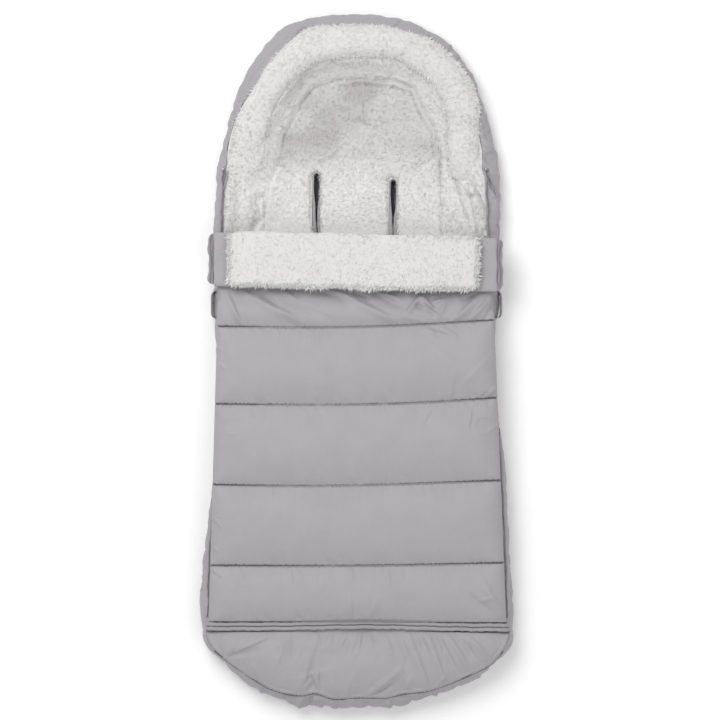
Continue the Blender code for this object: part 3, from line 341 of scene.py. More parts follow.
def cut_sheet(name, outline, spacing, holes=()):
    """A flat sheet cut to an outline, with holes, as an even grid whose edge follows the cut."""
    low, high = outline.min(0) - spacing, outline.max(0) + spacing
    columns, rows = (int(math.ceil(size / spacing)) + 1 for size in high - low)
    piece = new_grid(name, columns, rows)
    points = points_of(piece)
    points[:, 0] = low[0] + (points[:, 0] + 0.5) * (high[0] - low[0])
    points[:, 1] = low[1] + (points[:, 1] + 0.5) * (high[1] - low[1])
    set_points(piece, points)
    depth = inside_distance(points[:, :2], outline)
    for hole in holes:
        depth = np.minimum(depth, -inside_distance(points[:, :2], hole))
    bm = bmesh.new()
    bm.from_mesh(piece.data)
    bm.verts.ensure_lookup_table()
    bmesh.ops.delete(bm, geom=[v for v, d in zip(bm.verts, depth) if d < -0.45 * spacing], context="VERTS")
    loose = [v for v in bm.verts if not v.link_faces]
    bmesh.ops.delete(bm, geom=loose, context="VERTS")
    edge = [v for v in bm.verts if v.is_boundary]
    places = np.array([v.co[:2] for v in edge])
    lines = [np.vstack([line, line[:1]]) for line in (outline, *holes)]
    gaps = np.stack([line_distance(places, line) for line in lines], 1).argmin(1)
    for vertex, place, choice in zip(edge, places, gaps):
        line = lines[choice]
        along = line[1:] - line[:-1]
        share = np.clip(((place - line[:-1]) * along).sum(1) / np.maximum((along ** 2).sum(1), 1e-12), 0, 1)
        spots = line[:-1] + share[:, None] * along
        spot = spots[((spots - place) ** 2).sum(1).argmin()]
        vertex.co.x, vertex.co.y = spot
    bm.to_mesh(piece.data)
    bm.free()
    lay_weave(piece, points_of(piece)[:, :2])
    piece.data.shade_smooth()
    return piece


def finish_piece(piece, material, slot, body=None, replaces=(), blend=None):
    """Gives a piece its material, the body that it moves with, and the nodes it stands for. The slot is not used."""
    piece.data.materials.clear()
    piece.data.materials.append(material)
    if blend:
        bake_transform(piece)
    else:
        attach(piece, body)
    if replaces:
        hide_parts(*replaces)


def closed_piece(name, rows, material, slot, **joins):
    """A piece closed all round, from rings of points, with its finish."""
    piece = shape_grid(name, rows, wrap=True, caps=True)
    finish_piece(piece, material, slot, **joins)
    return piece


def subdivide(piece):
    """Four faces for each one, rounded, to hold finer folds."""
    clear_selection()
    piece.select_set(True)
    bpy.context.view_layer.objects.active = piece
    rounding = piece.modifiers.new("rounding", "SUBSURF")
    rounding.levels = rounding.render_levels = 1
    bpy.ops.object.modifier_apply(modifier=rounding.name)


def settle(piece, sewn, slack, gather, pressure, limit, frames=18):
    """Lets sewn cloth find its own shape. It was cut larger than the space between its seams: by slack
    both ways, and by gather more across, so it fills out and puckers when the wadding presses on it."""
    start = points_of(piece)
    group = piece.vertex_groups.new(name="sewn")
    group.add(np.flatnonzero(sewn).tolist(), 1.0, "REPLACE")
    piece.shape_key_add(name="Basis")
    cut = piece.shape_key_add(name="cut")
    wider = start.copy()
    wider[:, 0] += gather * (start[:, 0] + 0.020 * swell(start * np.array((1, 0.3, 0)), 0.05, 33))
    cut.data.foreach_set("co", wider.ravel())
    cloth = piece.modifiers.new("cloth", "CLOTH")
    settings = cloth.settings
    settings.rest_shape_key = cut
    settings.quality = 4
    settings.mass = 0.02
    settings.tension_stiffness = settings.compression_stiffness = 15
    settings.shear_stiffness = 5
    settings.bending_stiffness = 0.012
    settings.air_damping = 2
    settings.vertex_group_mass = "sewn"
    settings.shrink_min = -slack
    settings.use_pressure = True
    settings.uniform_pressure_force = pressure
    settings.effector_weights.gravity = 0
    cloth.collision_settings.use_collision = False
    cloth.point_cache.frame_start, cloth.point_cache.frame_end = 1, frames
    for number in range(1, frames + 1):
        bpy.context.scene.frame_set(number)
    settled = piece.evaluated_get(bpy.context.evaluated_depsgraph_get())
    moved = points_of(settled) - start
    piece.modifiers.clear()
    piece.shape_key_clear()
    piece.vertex_groups.clear()
    far = np.sqrt((moved ** 2).sum(1))[:, None] + 1e-9
    set_points(piece, start + moved / far * limit * np.tanh(far / limit))
    bpy.context.scene.frame_set(1)


def finer(rows, closed=False):
    """The same surface with a point more between each two, on a smooth curve through them."""
    for axis in (0, 1):
        rows = np.swapaxes(rows, 0, axis)
        if axis and closed:
            longer = np.concatenate([rows[-1:], rows, rows[:2]])
        else:
            longer = np.concatenate([2 * rows[:1] - rows[1:2], rows, 2 * rows[-1:] - rows[-2:-1]])
        between = (-longer[:-3] + 9 * longer[1:-2] + 9 * longer[2:-1] - longer[3:]) / 16
        woven = np.empty((len(rows) + len(between),) + rows.shape[1:])
        woven[::2], woven[1::2] = rows, between
        rows = np.swapaxes(woven, 0, axis)
    return rows


NECK_BEND = ("back", "hood", (0, NECK_Y - 0.022, 0.04), (0, NECK_Y + 0.022, 0.04))
FLAP_BEND = ("back", "foot_flap", (0, FLAP_Y - 0.008, 0.06), (0, FLAP_Y + 0.008, 0.06))


# Materials

def colour(code):
    """An sRGB hex colour as the linear values that a shader takes."""
    parts = [int(code[k:k + 2], 16) / 255 for k in (1, 3, 5)]
    return [c / 12.92 if c <= 0.04045 else ((c + 0.055) / 1.055) ** 2.4 for c in parts] + [1]


def add(tree, kind, inputs=(), **settings):
    """One node with its settings, and a value or a link for each input that is named."""
    node = tree.nodes.new(kind)
    for key, value in settings.items():
        setattr(node, key, value)
    for key, value in dict(inputs).items():
        if isinstance(value, bpy.types.NodeSocket):
            tree.links.new(value, node.inputs[key])
        else:
            node.inputs[key].default_value = value
    return node


def new_material(name, **sockets):
    material = bpy.data.materials.new(name)
    material.use_nodes = True
    shader = material.node_tree.nodes["Principled BSDF"]
    for key, value in sockets.items():
        shader.inputs[key.replace("_", " ")].default_value = value
    return material, material.node_tree, shader


def taffeta(name, light, dark, crinkle=0.35):
    """Woven polyester taffeta, padded: an even matte grey with a faint sheen and soft crinkles.
    Its threads are 0.1 mm apart, too fine to show, so they are drawn 1.1 mm apart."""
    material, tree, shader = new_material(name, Roughness=0.68, Sheen_Weight=0.12, Sheen_Roughness=0.5)
    place = add(tree, "ShaderNodeTexCoord")
    weave = add(tree, "ShaderNodeUVMap")
    broad = add(tree, "ShaderNodeTexNoise", {"Vector": place.outputs["Object"], "Scale": 28, "Detail": 4,
                                             "Roughness": 0.55})
    ramp = add(tree, "ShaderNodeValToRGB", {"Fac": broad.outputs["Fac"]})
    ramp.color_ramp.elements[0].position, ramp.color_ramp.elements[0].color = 0.3, colour(dark)
    ramp.color_ramp.elements[1].position, ramp.color_ramp.elements[1].color = 0.7, colour(light)
    tree.links.new(ramp.outputs["Color"], shader.inputs["Base Color"])
    soft = add(tree, "ShaderNodeTexNoise", {"Vector": place.outputs["Object"], "Scale": 75, "Detail": 5,
                                            "Roughness": 0.6, "Distortion": 0.4})
    warp = add(tree, "ShaderNodeTexWave", {"Vector": weave.outputs["UV"], "Scale": 145}, bands_direction="X")
    weft = add(tree, "ShaderNodeTexWave", {"Vector": weave.outputs["UV"], "Scale": 145}, bands_direction="Y")
    threads = add(tree, "ShaderNodeMath", {0: warp.outputs["Fac"], 1: weft.outputs["Fac"]}, operation="ADD")
    fine = add(tree, "ShaderNodeBump", {"Height": threads.outputs["Value"], "Strength": 0.06,
                                        "Distance": 0.0003})
    folds = add(tree, "ShaderNodeBump", {"Height": soft.outputs["Fac"], "Strength": crinkle,
                                         "Distance": 0.0012, "Normal": fine.outputs["Normal"]})
    tree.links.new(folds.outputs["Normal"], shader.inputs["Normal"])
    return material


def sherpa(name, light, dark, bump_strength=0.3):
    """Sherpa fleece of knitted polyester: off-white curls 3 to 5 mm across, matte, with painted shade in grey between
    them, and greyer in the head hollow where the pile is pressed flat, a grey that is mostly painted shade."""
    material, tree, shader = new_material(name, Roughness=0.95, Sheen_Weight=0.2, Sheen_Roughness=0.6,
                                          Subsurface_Weight=0.35, Subsurface_Radius=(0.5, 0.48, 0.46),
                                          Subsurface_Scale=0.006)
    shader.inputs["Specular IOR Level"].default_value = 0.15
    place = add(tree, "ShaderNodeTexCoord")
    curls = add(tree, "ShaderNodeTexNoise", {"Vector": place.outputs["Object"], "Scale": 300, "Detail": 3,
                                             "Roughness": 0.55, "Distortion": 1.4})
    # The curls set the colour as well as the bump, darker where the bump is low: painted shade between the curls.
    ramp = add(tree, "ShaderNodeValToRGB", {"Fac": curls.outputs["Fac"]})
    ramp.color_ramp.elements[0].position, ramp.color_ramp.elements[0].color = 0.25, colour(dark)
    ramp.color_ramp.elements[1].position, ramp.color_ramp.elements[1].color = 0.6, colour(light)
    # The pressed attribute mixes in this grey: painted shade, most in the head hollow under the roll.
    pressed = add(tree, "ShaderNodeAttribute", attribute_name="pressed")
    tone = add(tree, "ShaderNodeMix", {0: pressed.outputs["Fac"], 6: ramp.outputs["Color"],
                                       7: colour("#aeaba9")}, data_type="RGBA")
    tree.links.new(tone.outputs[2], shader.inputs["Base Color"])
    bump = add(tree, "ShaderNodeBump", {"Height": curls.outputs["Fac"], "Strength": bump_strength,
                                        "Distance": 0.001})
    tree.links.new(bump.outputs["Normal"], shader.inputs["Normal"])
    return material


def pressed_pile_and_painted_shade(points):
    """How far the pile is pressed and given painted shade: most in the hollow that the child's head makes."""
    seam = from_photo(PANEL_SEAM_PX)
    inside = smooth(inside_distance(points[:, :2], seam), -0.001, 0.002)
    hollow = smooth(points[:, 1], 0.245, 0.33) * inside
    dips = smooth(swell(points, 0.05, 61), -0.1, 0.7)
    band = 0.02 + 0.06 * smooth(points[:, 1], 0.24, 0.30)
    return np.clip(hollow * (0.34 + 0.42 * dips) + band, 0, 1)


def mark_pressed_and_painted_shade(piece, values):
    piece.data.attributes.new("pressed", "FLOAT", "POINT").data.foreach_set("value", values)


def webbing(name, light, dark, pitch=0.0016):
    """Woven polyester tape: ribs across it, drawn at their real spacing, with a dull sheen."""
    material, tree, shader = new_material(name, Roughness=0.75, Sheen_Weight=0.1)
    place = add(tree, "ShaderNodeTexCoord")
    ribs = add(tree, "ShaderNodeTexWave", {"Vector": place.outputs["Object"], "Scale": 0.16 / pitch,
                                           "Distortion": 1.2, "Detail": 1}, bands_direction="DIAGONAL")
    # The ribs set the colour as well as the bump, darker where the bump is low: painted shade in the grooves between
    # them.
    ramp = add(tree, "ShaderNodeValToRGB", {"Fac": ribs.outputs["Fac"]})
    ramp.color_ramp.elements[0].color, ramp.color_ramp.elements[1].color = colour(dark), colour(light)
    tree.links.new(ramp.outputs["Color"], shader.inputs["Base Color"])
    bump = add(tree, "ShaderNodeBump", {"Height": ribs.outputs["Fac"], "Strength": 0.3, "Distance": 0.0004})
    tree.links.new(bump.outputs["Normal"], shader.inputs["Normal"])
    return material


def hard(name, base, roughness, metallic=0.0):
    """A moulded or die-cast piece: one colour, with faint unevenness that breaks its highlight."""
    material, tree, shader = new_material(name, Roughness=roughness, Metallic=metallic)
    shader.inputs["Base Color"].default_value = colour(base)
    place = add(tree, "ShaderNodeTexCoord")
    worn = add(tree, "ShaderNodeTexNoise", {"Vector": place.outputs["Object"], "Scale": 420, "Detail": 4})
    spread = add(tree, "ShaderNodeMapRange", {"Value": worn.outputs["Fac"], "To Min": roughness - 0.08,
                                              "To Max": roughness + 0.1})
    tree.links.new(spread.outputs["Result"], shader.inputs["Roughness"])
    bump = add(tree, "ShaderNodeBump", {"Height": worn.outputs["Fac"], "Strength": 0.06, "Distance": 0.0002})
    tree.links.new(bump.outputs["Normal"], shader.inputs["Normal"])
    return material


def rubber_mat(name):
    """Dark non-slip rubber with moulded dots 5 mm apart."""
    material, tree, shader = new_material(name, Roughness=0.8)
    shader.inputs["Base Color"].default_value = colour("#3b3b3d")
    place = add(tree, "ShaderNodeTexCoord")
    dots = add(tree, "ShaderNodeTexVoronoi", {"Vector": place.outputs["Object"], "Scale": 200,
                                              "Randomness": 0.0})
    edge = add(tree, "ShaderNodeMapRange", {"Value": dots.outputs["Distance"], "From Min": 0.25,
                                            "From Max": 0.35, "To Min": 1.0, "To Max": 0.0})
    bump = add(tree, "ShaderNodeBump", {"Height": edge.outputs["Result"], "Strength": 0.8,
                                        "Distance": 0.0006})
    tree.links.new(bump.outputs["Normal"], shader.inputs["Normal"])
    return material


SHELL = taffeta("grey_taffeta", "#a29fa2", "#9e9b9e")
# A darker copy of the shell taffeta for the zip lips, the cuff's tape ends and the neck hems: painted shade.
SHELL_TURNED_SHADED = taffeta("grey_taffeta_edge_shaded", "#9b989b", "#949194", 0.2)
SHERPA = sherpa("ivory_sherpa", "#dfdedd", "#d7d6d5", 0.3)
SHERPA_INSIDE = sherpa("ivory_sherpa_inside", "#e2e1e0", "#cdcbc9", 0.7)
STRANDS = sherpa("ivory_sherpa_strands", "#e1e0df", "#dddcdb", 0.05)
# Darker copies of the sherpa for the raised roll and cuff: painted shade that holds down the light they catch.
RAISED_SHADED = sherpa("ivory_sherpa_raised_shaded", "#d8d7d6", "#d1d0cf", 0.3)
RAISED_SHADED_STRANDS = sherpa("ivory_sherpa_raised_shaded_strands", "#d5d4d3", "#d1d0cf", 0.05)
# A near-white copy of the sherpa for the fringe and tufts at the edges: painted light on strands the lamps leave in
# shade.
TIPS_PAINTED_LIGHT = sherpa("ivory_sherpa_tips_painted_light", "#f8f8f7", "#f4f4f3", 0.05)
BINDING = webbing("grey_binding", "#a5a3a5", "#979597", 0.0012)
# Dark copy of the binding for the slots' walls and the sheet at their foot: painted shade down in the slots.
SLOT_PAINTED_SHADE = webbing("dark_slot_painted_shade", "#626163", "#545355", 0.0012)
WEBBING = webbing("grey_webbing", "#7d7b7d", "#5d5b5d")
TAPE = webbing("grey_zip_tape", "#9d9b9d", "#858385", 0.0009)
COIL = hard("nylon_zip_coil", "#6c6b6d", 0.42)
SLIDER = hard("painted_zinc_slider", "#8b8a8c", 0.34, 0.6)
# Dark grey for stitches and for the strip under each seam's gap: the thread's colour and painted shade of the seam's
# groove.
STITCH_AND_SEAM_SHADE = hard("polyester_thread_and_seam_shade", "#565456", 0.7)
RUBBER = rubber_mat("dotted_rubber_mat")
ELASTIC = webbing("covered_elastic", "#3c3c3c", "#2c2c2c")
WADDING = sherpa("white_wadding", "#eeeeea", "#e2e2de")

# The outline from above, anticlockwise from the head, and the lines that the pieces meet on
OUTLINE_PX = [
    (350, 13.5), (328.5, 14), (308.5, 18), (291.5, 22), (278.5, 30), (270.5, 38), (263, 46), (257.5, 54),
    (253.5, 60), (246.5, 72), (241, 84), (236, 96), (232.5, 108), (229.5, 120), (227, 132), (223.5, 144),
    (220.5, 156), (218, 168), (216.5, 180), (215.5, 204), (214.5, 228), (214.5, 260), (214.5, 290),
    (215.5, 324), (217, 348), (217.5, 372), (216.5, 396), (217.3, 420), (216.5, 444), (215, 468), (213.5, 486),
    (211.5, 504), (207.5, 528), (203.8, 552), (201.8, 576), (200.7, 600), (202, 618), (204.2, 630.5),
    (202.7, 637), (209, 648), (221, 659.5), (231, 668), (242, 679), (263, 692), (284, 701), (302, 708),
    (316, 705.5), (332, 706), (346, 707.5), (360, 707), (372, 705.5), (389, 707), (404, 705), (420, 699),
    (443, 692), (458, 687), (472, 681), (488, 669), (502, 656), (511, 646), (512.8, 636), (511, 630),
    (512, 620), (514, 612), (512.5, 600), (511.5, 588), (509.8, 564), (509.5, 552), (508.3, 528),
    (507, 504), (506, 480), (504, 462), (501.5, 444), (498.5, 420), (496.5, 396), (495.3, 372),
    (494, 348), (496, 324), (498, 300), (498.5, 270), (498.5, 240), (499.7, 228), (500.3, 204), (499.7, 180),
    (498.7, 168), (497, 156), (494.5, 144), (491.5, 132), (488.5, 120), (485.3, 108), (481.3, 96),
    (476.7, 84), (470.7, 72), (463.8, 60), (459, 54), (451.7, 46), (442, 38), (429.5, 30), (414.5, 22),
    (398, 17.5), (374.5, 14)]
HOOD_RIM_PX = [(486, 167), (485, 150), (483.5, 132), (481, 112), (474, 88), (462.5, 69), (446, 52), (428, 40),
               (408, 32.5), (385, 28.5), (350, 28), (322, 31), (300, 39), (284, 53), (268, 73), (255, 93),
               (244.5, 111), (237.8, 130), (233, 148), (226, 167)]
FOOT_SEAM_PX = [(210, 621.2), (205.8, 630), (206.4, 640), (212, 649), (228, 662), (251, 678), (269, 689),
                (288, 695), (303, 696), (315, 692.6), (332, 699.5), (359, 697.5), (386, 698), (404, 694),
                (426, 692), (441, 687), (470, 675.5), (490, 666), (503, 652), (509, 642), (510, 631), (505, 621.2)]
ROLL_PX = [(241, 182), (243, 168), (249, 133), (256.5, 112), (266.5, 93.5), (280.5, 73.5), (297.5, 53.5),
           (314.5, 44.5), (345, 41), (381, 41), (404, 45.5), (421, 53), (437, 64), (449, 77), (458, 94),
           (463.5, 113), (465, 132.5), (465, 154), (466.5, 168), (469, 180)]
PANEL_SEAM_PX = [(262, 600), (262, 400), (262.5, 260), (263.3, 232.4), (266.3, 194.8), (277.2, 163.2),
                 (282.1, 135.5), (294, 115.7), (301.9, 99.9), (313.7, 85), (336, 78.5), (363, 76),
                 (395, 79.5), (414.6, 86), (424.5, 109.8), (435.3, 125.6), (440.3, 151.3), (441.3, 194.8),
                 (442.3, 235.3), (443, 260), (446, 400), (450, 600)]

COLUMNS = 620
# The wall is widest low down, farther from the camera, where the photograph shows it a little smaller
AXIS = np.array((2.5 * PX, 0))
outline = closed_curve((from_photo(OUTLINE_PX) - AXIS) * 1.0055 + AXIS, COLUMNS, 0.0040)
inward = inward_of(outline)
girth = lengths_along(outline)


def rim_line():
    """The top line of the wall: the zips along the sides, the hood's rim and the foot's seam."""
    hood_centre, foot_centre = np.array((-0.004, NECK_Y)), np.array((0, HINGE_Y))
    hood = from_photo(HOOD_RIM_PX) - hood_centre
    foot = from_photo(FOOT_SEAM_PX[::-1]) - foot_centre
    hood_angle, foot_angle = np.arctan2(hood[:, 1], hood[:, 0]), np.arctan2(-foot[:, 1], foot[:, 0])
    rim = np.empty_like(outline)
    for i, (x, y) in enumerate(outline):
        if y > NECK_Y:
            angle = math.atan2(y - NECK_Y, x - hood_centre[0])
            reach = np.interp(angle, hood_angle, np.hypot(hood[:, 0], hood[:, 1]))
            rim[i] = hood_centre + reach * np.array((math.cos(angle), math.sin(angle)))
        elif y < HINGE_Y:
            angle = math.atan2(HINGE_Y - y, x)
            reach = np.interp(angle, foot_angle, np.hypot(foot[:, 0], foot[:, 1]))
            rim[i] = foot_centre + reach * np.array((math.cos(angle), -math.sin(angle)))
        else:
            rim[i] = edge_x(LEFT if x < 0 else RIGHT, y), y
    return soften(rim, 0.004 / (girth[-1] / COLUMNS))


def rim_height(y):
    """The top of the wall: highest at the foot and the hood, with a dip beside the roll."""
    beside_neck = smooth(y, NECK_Y + 0.002, NECK_Y + 0.020) * (1 - smooth(y, NECK_Y + 0.10, NECK_Y + 0.18))
    return (RIM_Z + 0.0058 * (1 - smooth(y, -0.354, -0.333)) + 0.0062 * smooth(y, NECK_Y + 0.03, NECK_Y + 0.14)
            - 0.0066 * beside_neck)


rim = rim_line()


def wall_row(lean, inset, z):
    """One line of the wall, from the outline at lean 0 to the rim at lean 1, moved in by inset."""
    flat = outline + (rim - outline) * lean + inward * inset
    heights = z if np.ndim(z) else np.full(COLUMNS, z)
    return np.column_stack([flat, heights])


def build_shell():
    """Outer cloth: one wall all round, from the turned-in rim to under the edge, and the sheet below."""
    top = rim_height(outline[:, 1])
    turned = 1 - 0.85 * smooth(outline[:, 1:], NECK_Y, NECK_Y + 0.03)
    rows = [wall_row(1, 0.0042 * turned, top - 0.006), wall_row(1, 0.0016 * turned, top - 0.0008),
            wall_row(1, 0.0004, top)]
    for step in np.linspace(0.05, 1, 15):
        rows.append(wall_row((1 - step) ** 1.7, 0, top + (WALL_Z - top) * step))
    for step in np.linspace(0.12, 1, 9):
        rows.append(wall_row(0, 0.024 * (1 - math.sqrt(1 - 0.985 * step ** 2)), WALL_Z - 0.0222 * step))
    rows.append(wall_row(0, 0.034, 0.0017))
    rows = np.array(rows)
    level = np.linspace(0, 1, len(rows))[:, None]
    y = outline[:, 1][None, :]
    lengthwise = np.column_stack([girth[:COLUMNS], np.zeros(COLUMNS), np.zeros(COLUMNS)])
    flat = rows.reshape(-1, 3)
    broad = swell(flat, 0.045, 3).reshape(rows.shape[:2]) * 0.0016
    small = swell(flat * np.array((1, 1, 0.5)), 0.015, 4).reshape(rows.shape[:2]) * 0.0007
    gather = (swell(lengthwise, 0.014, 5) - 0.7 * np.abs(swell(lengthwise, 0.031, 6)) + 0.25)[None, :]
    gather = gather + 0.3 * swell(lengthwise, 0.009, 7)[None, :] * (1 - level)
    hood = smooth(y, NECK_Y - 0.05, NECK_Y + 0.05) * (1 - level) * 0.0016
    foot = (1 - smooth(y, -0.44, -0.37)) * (1.1 - level) * 0.0031
    strength = np.clip(1.25 - 1.9 * np.abs(level - 0.42), 0, 1)
    held = (1 - smooth(np.abs(y - 0.080), 0.016, 0.025)) * np.exp(-((rows[:, :, 2] - 0.014) / 0.011) ** 2)
    push = strength * (broad + small) + gather * (hood + foot) * np.clip(strength + 0.25, 0, 1) + 0.0042 * held
    rows[:, :, :2] -= inward[None] * push[:, :, None]
    dents = swell(flat * np.array((1, 1, 0)), 0.013, 9).reshape(rows.shape[:2])
    rows[:, :, 2] += dents * 0.0011 * np.clip(level * 8, 0, 1) * (1 - level) * (hood + foot) / 0.0025
    rows = rows[:, ::-1]
    loose = shape_grid("loose_wall", rows, wrap=True)
    places = points_of(loose)
    fixed = (places[:, 2] < 0.004) | (line_distance(places[:, :2], np.vstack([rim, rim[:1]])) < 0.0022)
    tree = kdtree.KDTree(len(places))
    for k, place in enumerate(places):
        tree.insert(place, k)
    tree.balance()
    order = [tree.find(place)[1] for place in rows.reshape(-1, 3)]
    settle(loose, fixed, 0.016, 0, 60, 0.0028, 12)
    rows = points_of(loose)[order].reshape(rows.shape)
    bpy.data.objects.remove(loose)
    wall = shape_grid("shell_wall", finer(rows, True), wrap=True)
    places = points_of(wall)
    push = 1.5 * creases(places, HOOD_FOLDS, 0.9)
    around = places * np.array((1, 1, 0))
    high = smooth(places[:, 1], NECK_Y - 0.03, NECK_Y + 0.03) + 1 - smooth(places[:, 1], -0.44, -0.40)
    push += 0.0006 * swell(around, 0.0065, 91) * high
    hem = (rim + (outline - rim) * 0.55)[outline[:, 1] > NECK_Y + 0.03]
    hem = hem[np.argsort(np.arctan2(hem[:, 1] - NECK_Y, hem[:, 0]))]
    groove = np.exp(-(line_distance(places[:, :2], hem) / 0.0016) ** 2)
    push -= 0.0013 * groove * smooth(places[:, 1], NECK_Y, 0.36)
    held = smooth(line_distance(places[:, :2], np.vstack([rim[::4], rim[:1]])), 0.0010, 0.0055)
    places += normals_of(wall) * (push * held * smooth(places[:, 2], 0.010, 0.030))[:, None]
    set_points(wall, places)
    finish_piece(wall, SHELL, "shell", replaces=("back_shell", "hood_shell"), blend=NECK_BEND)
    below = cut_sheet("shell_underside", outline + inward * 0.031, 0.0042, slot_outlines(0.0052))
    points = points_of(below)
    points[:, 2] = 0.0016 + 0.0003 * swell(points, 0.04, 8)
    set_points(below, points)
    flip(below)
    finish_piece(below, SHELL, "shell", blend=NECK_BEND)


def flip(piece):
    """Turns a sheet's faces to its other side."""
    bm = bmesh.new()
    bm.from_mesh(piece.data)
    bmesh.ops.reverse_faces(bm, faces=bm.faces)
    bm.to_mesh(piece.data)
    bm.free()


SLOTS = {
    "harness_slot_left": (-0.0598, 0.176, 0.190, True),
    "harness_slot_right": (0.0512, 0.166, 0.190, True),
    "crotch_slot": (-0.004, -0.0515, 0.060, False)}


def slot_ring(name, head_half, tail_half, z, shift=0.0):
    """A ring round a slot, head_half wide to each side at its head end and tail_half at its other end."""
    x, y, length, upright = SLOTS[name]
    half = length / 2 - 0.0042
    ring = []
    for side, ends in ((1, (-1, 1)), (-1, (1, -1))):
        for run in np.linspace(ends[0] * half, ends[1] * half, 33):
            ring.append((side, run, 0))
        for turn in np.linspace(0, math.pi, 14)[1:-1]:
            ring.append((side * math.cos(turn), ends[1] * half, ends[1] * math.sin(turn)))
    points = []
    for across, run, beyond in ring:
        head = smooth(run, half - 0.056, half - 0.016) if upright else 0.5
        width = head_half * head + tail_half * (1 - head)
        sway = 0.0006 * math.sin(run * 90 + x * 400) * (1 - head)
        points.append((across * width + shift + sway, run + beyond * width, z))
    points = np.array(points)
    if not upright:
        points = points[:, [1, 0, 2]] * np.array((1, -1, 1))
    return points + np.array((x, y, 0))


def slot_outlines(half_width):
    return [slot_ring(name, half_width, half_width, 0)[:, :2] for name in SLOTS]


def build_lining():
    """Sherpa tub: floor, bolsters, seams and walls in one cloth, from the foot to the hood."""
    inner = rim + inward * (0.0034 - 0.0029 * smooth(outline[:, 1:], NECK_Y - 0.005, NECK_Y + 0.02))
    tub = cut_sheet("sherpa_lining", inner[::2], 0.0026, slot_outlines(0.0058))
    points = points_of(tub)
    flat = points[:, :2]
    depth = line_distance(flat, np.vstack([inner[::3], inner[:1]]))
    y = flat[:, 1]
    wall = np.interp(depth, [0, 0.0015, 0.006, 0.010, 0.015, 0.021, 0.029, 0.045, 0.06],
                     [0.0205, 0.0212, 0.0203, 0.0170, 0.0112, 0.0068, 0.0048, 0.0036, 0.0026])
    wall = wall * (1 + 0.26 * (1 - smooth(y, -0.36, -0.33)))
    neck = smooth(y, 0.10, 0.25)
    wall = wall + neck * 0.0045 * (smooth(depth, 0.004, 0.016) - smooth(depth, 0.030, 0.052))
    hood = smooth(y, NECK_Y - 0.030, NECK_Y + 0.02)
    seam = from_photo(PANEL_SEAM_PX)
    outside = -inside_distance(flat, seam)
    body_band = 0.0030 * smooth(outside, 0.001, 0.014) * (1 - 0.5 * smooth(outside, 0.03, 0.05))
    hood_band = 0.0042 + (0.0125 + 0.0075 * smooth(y, 0.33, 0.43)) * smooth(outside, 0.002, 0.030)
    wall = wall * (1 - hood) + hood * np.where(outside > 0, hood_band * smooth(outside, -0.0002, 0.0035), 0)
    valley = (0.0022 + 0.0020 * hood) * np.exp(-(outside / 0.0030) ** 2)
    deep = 0.0026 * smooth(y, 0.27, 0.35) * smooth(-outside, -0.002, 0.012)
    roll = line_distance(flat, from_photo(ROLL_PX[2:-2]))
    z = PILE_Z + np.maximum(wall, body_band) - valley - deep
    z += 0.0022 * swell(points, 0.055, 12) * smooth(depth, 0.01, 0.04)
    z += creases(points, LINING_FOLDS)
    near = line_distance(flat, from_photo(ROLL_PX[1:-1]))
    soft_rise = (0.0012 + 0.0068 * smooth(y, 0.32, 0.43)) * np.exp(-((near - 0.0205) / 0.0085) ** 2)
    z += soft_rise * smooth(depth, 0.026, 0.036) * smooth(y, 0.235, 0.27)
    under = smooth(roll, 0.0150, 0.0210)
    z = 0.0205 + (z - 0.0205) * under
    points[:, 2] = z
    set_points(tub, points)
    grown = pile(points, 0.6 + 0.9 * (1 - smooth(y, 0.10, 0.17)), 2)
    points += normals_of(tub) * (grown * (0.25 + 0.75 * under))[:, None]
    set_points(tub, points)
    # Painted shade over the tub, most in the head hollow, carried by the pressed attribute.
    mark_pressed_and_painted_shade(tub, pressed_pile_and_painted_shade(points))
    finish_piece(tub, SHERPA, "sherpa", blend=NECK_BEND,
                 replaces=("back_lining", "side_lining_left", "side_lining_right", "foot_lining", "hood_lining"))
    seen = lambda p: smooth(p[:, 1], 0.130, 0.195) * (line_distance(p[:, :2], from_photo(ROLL_PX[2:-1])) > 0.013)
    comb(tub, "lining_strands", 15500, seen, 0.0052, 0.25, 3, blend=NECK_BEND, shade=True)
    hollow = lambda p: (seen(p) * smooth(p[:, 1], 0.165, 0.25)
                        * (inside_distance(p[:, :2], from_photo(PANEL_SEAM_PX)) > 0))
    comb(tub, "hollow_strands", 13000, hollow, 0.0056, 0.25, 4, blend=NECK_BEND, shade=True)
    beside = lambda p: seen(p) * (inside_distance(p[:, :2], from_photo(PANEL_SEAM_PX)) < 0.002)
    comb(tub, "side_strands", 13000, beside, 0.0056, 0.32, 6, blend=NECK_BEND, shade=True)
    rims = [slot_ring(name, 0.0072, 0.0066, 0)[:, :2] for name in ("harness_slot_left", "harness_slot_right")]
    near = lambda p: np.minimum(*[line_distance(p[:, :2], ring) for ring in rims]) < 0.0022
    comb(tub, "slot_tufts", 1500, near, 0.0050, 1.2, 5, body="back", radius=0.00045)
    build_neck_bulge()


